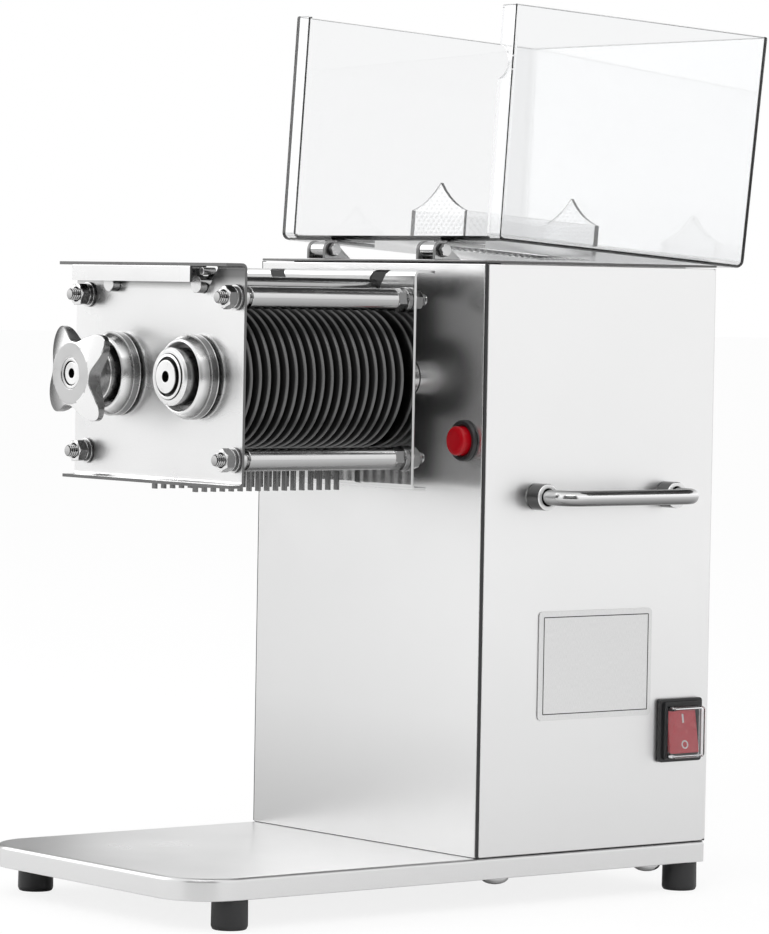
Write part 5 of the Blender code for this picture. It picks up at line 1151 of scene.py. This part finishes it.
def build_shafts():
    """Each roll's shaft: a turned bar with a centre hole in its front end, and a square spigot."""
    shoulder = BACK + GAP + REAR_CUP + GAP
    for hand, side, tip, radius, hole in (("left", -1, CUP_FLOOR - GAP - 0.0305, 0.0074, 0.0031),
                                          ("right", 1, CUP_FLOOR - GAP - 0.0175, 0.0105, 0.0035)):
        x = side * SHAFT_X
        profile = eased(
            [(0, tip + 0.004), (hole, tip + 0.004), (hole, tip), (radius, tip), (radius, CUP_FLOOR),
             (0.012, CUP_FLOOR), (0.012, shoulder), (0, shoulder)],
            (0, 0, 0.0004, 0.0006, 0, 0.0004, 0.0004, 0))
        spigot = rounded_rectangle((-0.0067, -0.0067), (0.0067, 0.0067), 0.0008, 3) + (x, SHAFT_Z)
        # The shafts: a painted highlight on their end faces, painted shade on their sides and down
        # the centre hole.
        made(f"{hand}_roll_shaft", [
            turned(profile, (x, 0, SHAFT_Z), "Y", 56),
            extruded(spigot, shoulder - 0.001, shoulder + 0.028, "Y", 0.0006),
        ], BRIGHT_FACE_PAINTED_HIGHLIGHT, f"roll_{hand}", "polished_steel", f"roll_shaft_{hand}", looks=[
            (TURNED_SIDE_PAINTED_SHADE, lambda at, way: abs(way[1]) < 0.6),
            (GROOVE_PAINTED_SHADE, lambda at, way: (at[1] < tip + 0.005) & (
                off_axis(at, x, SHAFT_Z) < hole + 0.0001)),
        ])


def build_cups():
    """Front bearing cups: a foot, a flange and a rim that slopes up to a round crest. The rear
    ones are plain rings."""
    seat, low = FACE - GAP, BACK + GAP
    foot, flange, neck, crest = FACE - 0.0018, FACE - 0.0074, FACE - 0.0086, FACE - 0.0143
    cup = eased(
        [(0.0123, seat), (0.0248, seat), (0.0248, foot), (0.0268, foot), (0.0268, flange),
         (0.0257, flange), (0.0257, neck), (0.0236, crest + 0.0012), (0.0222, crest),
         (0.0213, crest + 0.0010), (0.0213, CUP_FLOOR), (0.0123, CUP_FLOOR)],
        (0, 0, 0, 0.0006, 0.0006, 0, 0.0012, 0.0024, 0.0008, 0.0006, 0.0003, 0), 6, closed=True)
    ring = eased([(0.0123, low), (0.026, low), (0.026, low + REAR_CUP), (0.0123, low + REAR_CUP)],
                 (0, 0, 0.0009, 0.0005), closed=True)
    for hand, side in SIDES:
        centre = (side * SHAFT_X, 0, SHAFT_Z)
        # The front cups' finish carries painted light and shade along their depth.
        made(f"{hand}_front_cup", [turned(cup, centre, "Y", 96)], CUP_STEEL_PAINTED_LIGHT,
             "cassette", "polished_steel", f"front_bearing_cup_{hand}", sharp=40)
        made(f"{hand}_rear_cup", [turned(ring, centre)], DARK_STEEL,
             "cassette", "polished_steel", f"rear_bearing_cup_{hand}")


def build_cap():
    """The right shaft's cap: a sleeve with a chamfer, a ring set into its end, and a thin gap."""
    back = CUP_FLOOR - GAP
    front = back - 0.015
    profile = eased(
        [(0.0108, back), (0.0182, back), (0.0182, front + 0.0014), (0.0168, front),
         (0.0147, front), (0.0147, front + 0.0006), (0.0142, front + 0.0006),
         (0.0142, front - 0.0008), (0.0125, front - 0.0011), (0.0122, front + 0.0004),
         (0.0108, front + 0.0004)],
        (0, 0.0004, 0.0004, 0.0004, 0, 0, 0, 0.0003, 0.0003, 0, 0), closed=True)
    # The cap: a painted highlight on its end faces, painted shade on its sides and in the groove by
    # its ring.
    made("right_cap", [turned(profile, (SHAFT_X, 0, SHAFT_Z), "Y", 80)], BRIGHT_FACE_PAINTED_HIGHLIGHT,
         "roll_right", "polished_steel", "shaft_cap_right", looks=[
             (TURNED_SIDE_PAINTED_SHADE, lambda at, way: abs(way[1]) < 0.4),
             (GROOVE_PAINTED_SHADE, lambda at, way: (at[1] > front - 0.0006) & (at[1] < front + 0.0012) & (
                 off_axis(at, SHAFT_X, SHAFT_Z) < 0.01475)),
         ])


def build_knob():
    """The star knob: a disc with a domed front round a flat face, cut to the star.

    The star's radius swings between 20.4 and 36.1 mm with (1 + cos 4a) / 2 ** 1.45: four lobes that
    narrow to their tips, with round notches between them. At radius r the front lies back from
    the face by 5.8 mm times ((r - 19.2) / 16.8) ** 1.2, so it is thin at the lobes' tips.
    """
    centre = (-SHAFT_X, 0, SHAFT_Z)
    back = CUP_FLOOR - GAP
    star, face, ease = back - 0.0215, back - 0.0315, 0.0007
    angle = np.linspace(0, 2 * math.pi, 192, endpoint=False)
    swing = (1 + np.cos(4 * (angle - math.radians(38)))) / 2
    edge = 0.0204 + 0.0157 * swing**1.45

    def front(radius):
        """The front's place at a radius, as told above."""
        return face + 0.0058 * (np.maximum(radius - 0.0192, 0) / 0.0168) ** 1.2

    rows = [(0.010, star), (edge - ease, star), (edge - 0.3 * ease, star - 0.3 * ease),
            (edge, star - ease), (edge, front(edge) + ease),
            (edge - 0.3 * ease, front(edge) + 0.3 * ease)]
    slope = [(1 - share) * (edge - ease) + share * 0.0190 for share in np.linspace(0, 1, 10)]
    rows += [(radius, front(radius)) for radius in slope]
    rows += [(0.0188, face), (0.0104, face), (0.0100, face + 0.0004), (0.0100, face + 0.0013),
             (0.0078, face + 0.0014), (0.0077, face + 0.004), (0.0077, star)]
    radii, along = (np.array([row[k] + 0 * edge for row in rows]) for k in (0, 1))
    sleeve = eased([(0.0077, star - 0.0005), (0.0145, star - 0.0005), (0.0145, back - 0.0127),
                    (0.0182, back - 0.0127), (0.0182, back), (0.0077, back)],
                   (0, 0, 0, 0.0010, 0.0006, 0), closed=True)
    shells = [spun(radii, along, centre, "Y", True), turned(sleeve, centre),
              collar(0.0079, 0.0098, face + 0.0012, face + 0.0003, 0.0003, centre, "Y", 64)]
    # The knob: painted shade on its left lobes and sides, and in the recess at its middle.
    made("star_knob_piece", shells, KNOB_STEEL_PAINTED_SHADE, "roll_left", "polished_steel", "star_knob",
         sharp=32, looks=[
             (KNOB_SIDE_PAINTED_SHADE, lambda at, way: abs(way[1]) < 0.45),
             (KNOB_DISC, lambda at, way: (at[1] < face + 0.0001) & (way[1] < -0.9)),
             (GROOVE_PAINTED_SHADE, lambda at, way: (at[1] > face + 0.0010) & (at[1] < star - 0.001) & (
                 off_axis(at, -SHAFT_X, SHAFT_Z) < 0.0104)),
         ])


def build_combs():
    """Each comb: a round rod, flat tines with soft edges over the shoulder and down, and the
    bent stop at its front end."""
    start, end, inner = FACE - 0.006, BACK + 0.004, FACE + PLATE + 0.0006
    path = eased([(COMB_X - 0.0035, COMB_Z - 0.0027), (0.030, SHAFT_Z + 0.044),
                  (0.0245, SHAFT_Z + 0.036), (0.0245, TOP - 0.149)], (0, 0.004, 0.006, 0), 6)
    tine = bent_sheet(path, 0.004, 0)
    bar = eased([(0, start), (0.0055, start), (0.0055, end), (0, end)], (0, 0.0006, 0.0006, 0))
    head = eased([(0, start), (0.0024, start), (0.0024, inner + 0.001), (0, inner + 0.001)],
                 (0, 0.0005, 0, 0))
    # The combs: the rod's finish is a painted reflection; painted shade on the tines and the front
    # ends' sides, a painted highlight on the front faces.
    looks = [
        (COMB_TINE_PAINTED_SHADE, lambda at, way: at[2] < COMB_Z - 0.0056),
        (TURNED_SIDE_PAINTED_SHADE, lambda at, way: (at[1] < FACE + 0.004) & (abs(way[1]) < 0.5)),
        (NUT_FACE_PAINTED_HIGHLIGHT, lambda at, way: (at[1] < FACE) & (way[1] < -0.5)),
    ]
    for hand, side, count in (("left", -1, 16), ("right", 1, 17)):
        x, z = side * COMB_X, COMB_Z
        pin_x = side * (COMB_X + 0.0102 * math.sin(SLOT_TILT))
        pin_z = COMB_Z + 0.0102 * math.cos(SLOT_TILT)
        strap = bent_sheet([(x, z), (pin_x, pin_z)], 0.0048, 0)
        shells = [turned(bar, (x, 0, z), "Y", 40)]
        shells += [extruded(tine * (side, 1), y - 0.001, y + 0.001, "Y", 0.0004)
                   for y in disc_places(count)]
        shells += [turned(head, (pin_x, 0, pin_z), "Y", 28),
                   extruded(strap, inner, inner + 0.0025, "Y", 0.0004)]
        made(f"{hand}_comb", shells, COMB_ROD_PAINTED_REFLECTION, "cassette", "polished_steel",
             f"comb_{hand}", looks=looks)


def build_outputs():
    """The drive shafts that come out of the cabinet, each with a square socket in its end."""
    for hand, side in SIDES:
        node, x = f"output_shaft_{hand}", side * SHAFT_X
        tip, end = (float(corner[1]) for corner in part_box(node))
        profile = eased([(0, tip), (0.012, tip), (0.012, end), (0, end)], (0, 0.0008, 0, 0))
        socket = block((x - 0.007, tip - 0.002, SHAFT_Z - 0.007),
                       (x + 0.007, tip + 0.031, SHAFT_Z + 0.007), 0.0004)
        made(f"{hand}_drive_shaft", [turned(profile, (x, 0, SHAFT_Z))], POLISHED,
             f"output_{hand}", "polished_steel", node, cut=[[socket]])


def dress_nodes():
    """The nodes that stay as they are get their finish."""
    finishes = {
        PATTERNED: ("feed_chute",),
        BLACK: ("cord_gland",),
        CAST: ("gearbox_front_plate", "gearbox_rear_plate", "driven_pulley", "motor_pulley",
               "motor_cradle"),
        MACHINED: ("output_gear_left", "output_gear_right", "pinion_shaft", "motor_shaft"),
        PAINT: ("motor_housing",),
        RUBBER: ("drive_belt",),
    }
    for finish, names in finishes.items():
        for name in names:
            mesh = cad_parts[name].data
            for number in range(len(mesh.materials)):
                mesh.materials[number] = finish


# Room


def build_floor():
    """A pale floor that the camera sees as nearly white, and that keeps the object's shadow."""
    size, brightness, most = 30.0, 1.045, 0.8
    points = np.array([(-size, -size, 0), (size, -size, 0), (size, size, 0), (-size, size, 0)])
    finish = Finish("floor_white", grey(0.86), 0.0, 0.9)
    floor = piece_from("floor", [(points, [(0, 1, 2, 3)])], finish.material)
    path = finish.add("ShaderNodeLightPath")
    glow = finish.add("ShaderNodeEmission", Strength=brightness)
    share = finish.add("ShaderNodeMath", operation="MULTIPLY")
    share.inputs[1].default_value = most
    finish.link(path.outputs["Is Camera Ray"], share.inputs[0])
    shader = mixed(finish.tree, share.outputs["Value"], finish.shader.outputs["BSDF"],
                   glow.outputs["Emission"])
    finish.link(shader, finish.tree.nodes["Material Output"].inputs["Surface"])


def build_world():
    """White behind everything, also in metal and glass, and a softer grey as light."""
    world = bpy.data.worlds.new("studio")
    bpy.context.scene.world = world
    world.use_nodes = True
    tree = world.node_tree
    tree.nodes.clear()
    studio, white = (add(tree, "ShaderNodeBackground", Color=(*grey(level), 1)).outputs[0]
                     for level in (0.80, 1))
    path = add(tree, "ShaderNodeLightPath")
    either = path.outputs["Is Camera Ray"]
    for ray in ("Is Transmission Ray", "Is Glossy Ray"):
        step = add(tree, "ShaderNodeMath", operation="MAXIMUM")
        tree.links.new(either, step.inputs[0])
        tree.links.new(path.outputs[ray], step.inputs[1])
        either = step.outputs["Value"]
    output = add(tree, "ShaderNodeOutputWorld")
    tree.links.new(mixed(tree, either, studio, white), output.inputs["Surface"])


def add_flag(name, azimuths, elevations, level):
    """A dark studio flag that only metal and gloss see: a patch of a sphere about the object,
    its radius times (cos a cos e, sin a cos e, sin e), between its angles in degrees."""
    radius, middle = 2.5, (0, 0, 0.3)
    turn = np.radians(np.linspace(*azimuths, 13))
    lift = np.radians(np.linspace(*elevations, 9))
    lift, turn = np.meshgrid(lift, turn, indexing="ij")
    way = np.stack([np.cos(turn) * np.cos(lift), np.sin(turn) * np.cos(lift), np.sin(lift)], -1)
    points = (radius * way + middle).reshape(-1, 3)
    shell = points, grid_faces(*lift.shape, wrap_columns=False)
    flag = piece_from(name, [shell], Finish(name, grey(level), 0.0, 1.0).material)
    for ray in ("camera", "diffuse", "transmission", "shadow", "volume_scatter"):
        setattr(flag, "visible_" + ray, False)


def add_lamp(name, place, target, size, power):
    """A square lamp at a place, facing its target."""
    lamp = bpy.data.lights.new(name, "AREA")
    lamp.shape = "RECTANGLE"
    lamp.size = lamp.size_y = size
    lamp.energy = power
    holder = bpy.data.objects.new(name, lamp)
    turn = (Vector(place) - Vector(target)).to_track_quat("Z", "Y").to_matrix().to_4x4()
    holder.matrix_world = Matrix.Translation(place) @ turn
    bpy.context.scene.collection.objects.link(holder)


def build_camera():
    """Placed by a fit to the photograph: turned 51.75 degrees, 2.2 up, rolled by 1."""
    azimuth, elevation, roll = np.radians((51.753, 2.20, 1.0))
    back = np.array([math.sin(azimuth) * math.cos(elevation),
                     -math.cos(azimuth) * math.cos(elevation), math.sin(elevation)])
    right = np.array([math.cos(azimuth), math.sin(azimuth), 0.0])
    up = np.cross(back, right)
    right, up = (right * math.cos(roll) + up * math.sin(roll),
                 -right * math.sin(roll) + up * math.cos(roll))
    corner = np.array([HALF_WIDTH, FRONT, TRAY_TOP + GAP])
    aside, above, away = -0.057911, 0.248885, 2.933966
    focal_pixels, height_pixels = 4614.57, 934
    matrix = np.eye(4)
    matrix[:3, :3] = np.stack([right, up, back], 1)
    matrix[:3, 3] = right * aside + up * above + back * away + corner
    lens = bpy.data.cameras.new("camera")
    lens.sensor_fit = "VERTICAL"
    lens.sensor_height = 36.0
    lens.lens = focal_pixels / height_pixels * lens.sensor_height
    lens.clip_end = 100.0
    camera = bpy.data.objects.new("camera", lens)
    camera.matrix_world = Matrix(matrix.tolist())
    bpy.context.scene.collection.objects.link(camera)
    bpy.context.scene.camera = camera


for build in (
    build_camera, build_tray, build_feet, build_tray_bolts, build_panels, build_rear_screws,
    build_seams, build_switch, build_button, build_plate, build_handles, build_hinges,
    build_guard, build_plates, build_ties, build_rolls, build_shafts, build_cups, build_cap,
    build_knob, build_combs, build_outputs, dress_nodes, build_floor, build_world,
):
    build()
add_flag("flag_front", (283, 345), (-6, 45), 0.05)
add_flag("flag_above", (45, 135), (30, 66), 0.06)
add_flag("flag_left", (150, 190), (-6, 30), 0.30)
add_lamp("key", (1.9, -2.0, 2.2), (0, 0, 0.25), 2.0, 40)
add_lamp("fill", (-2.4, -1.6, 1.6), (0, 0, 0.25), 2.0, 20)
bpy.context.scene.view_settings.view_transform = "Standard"
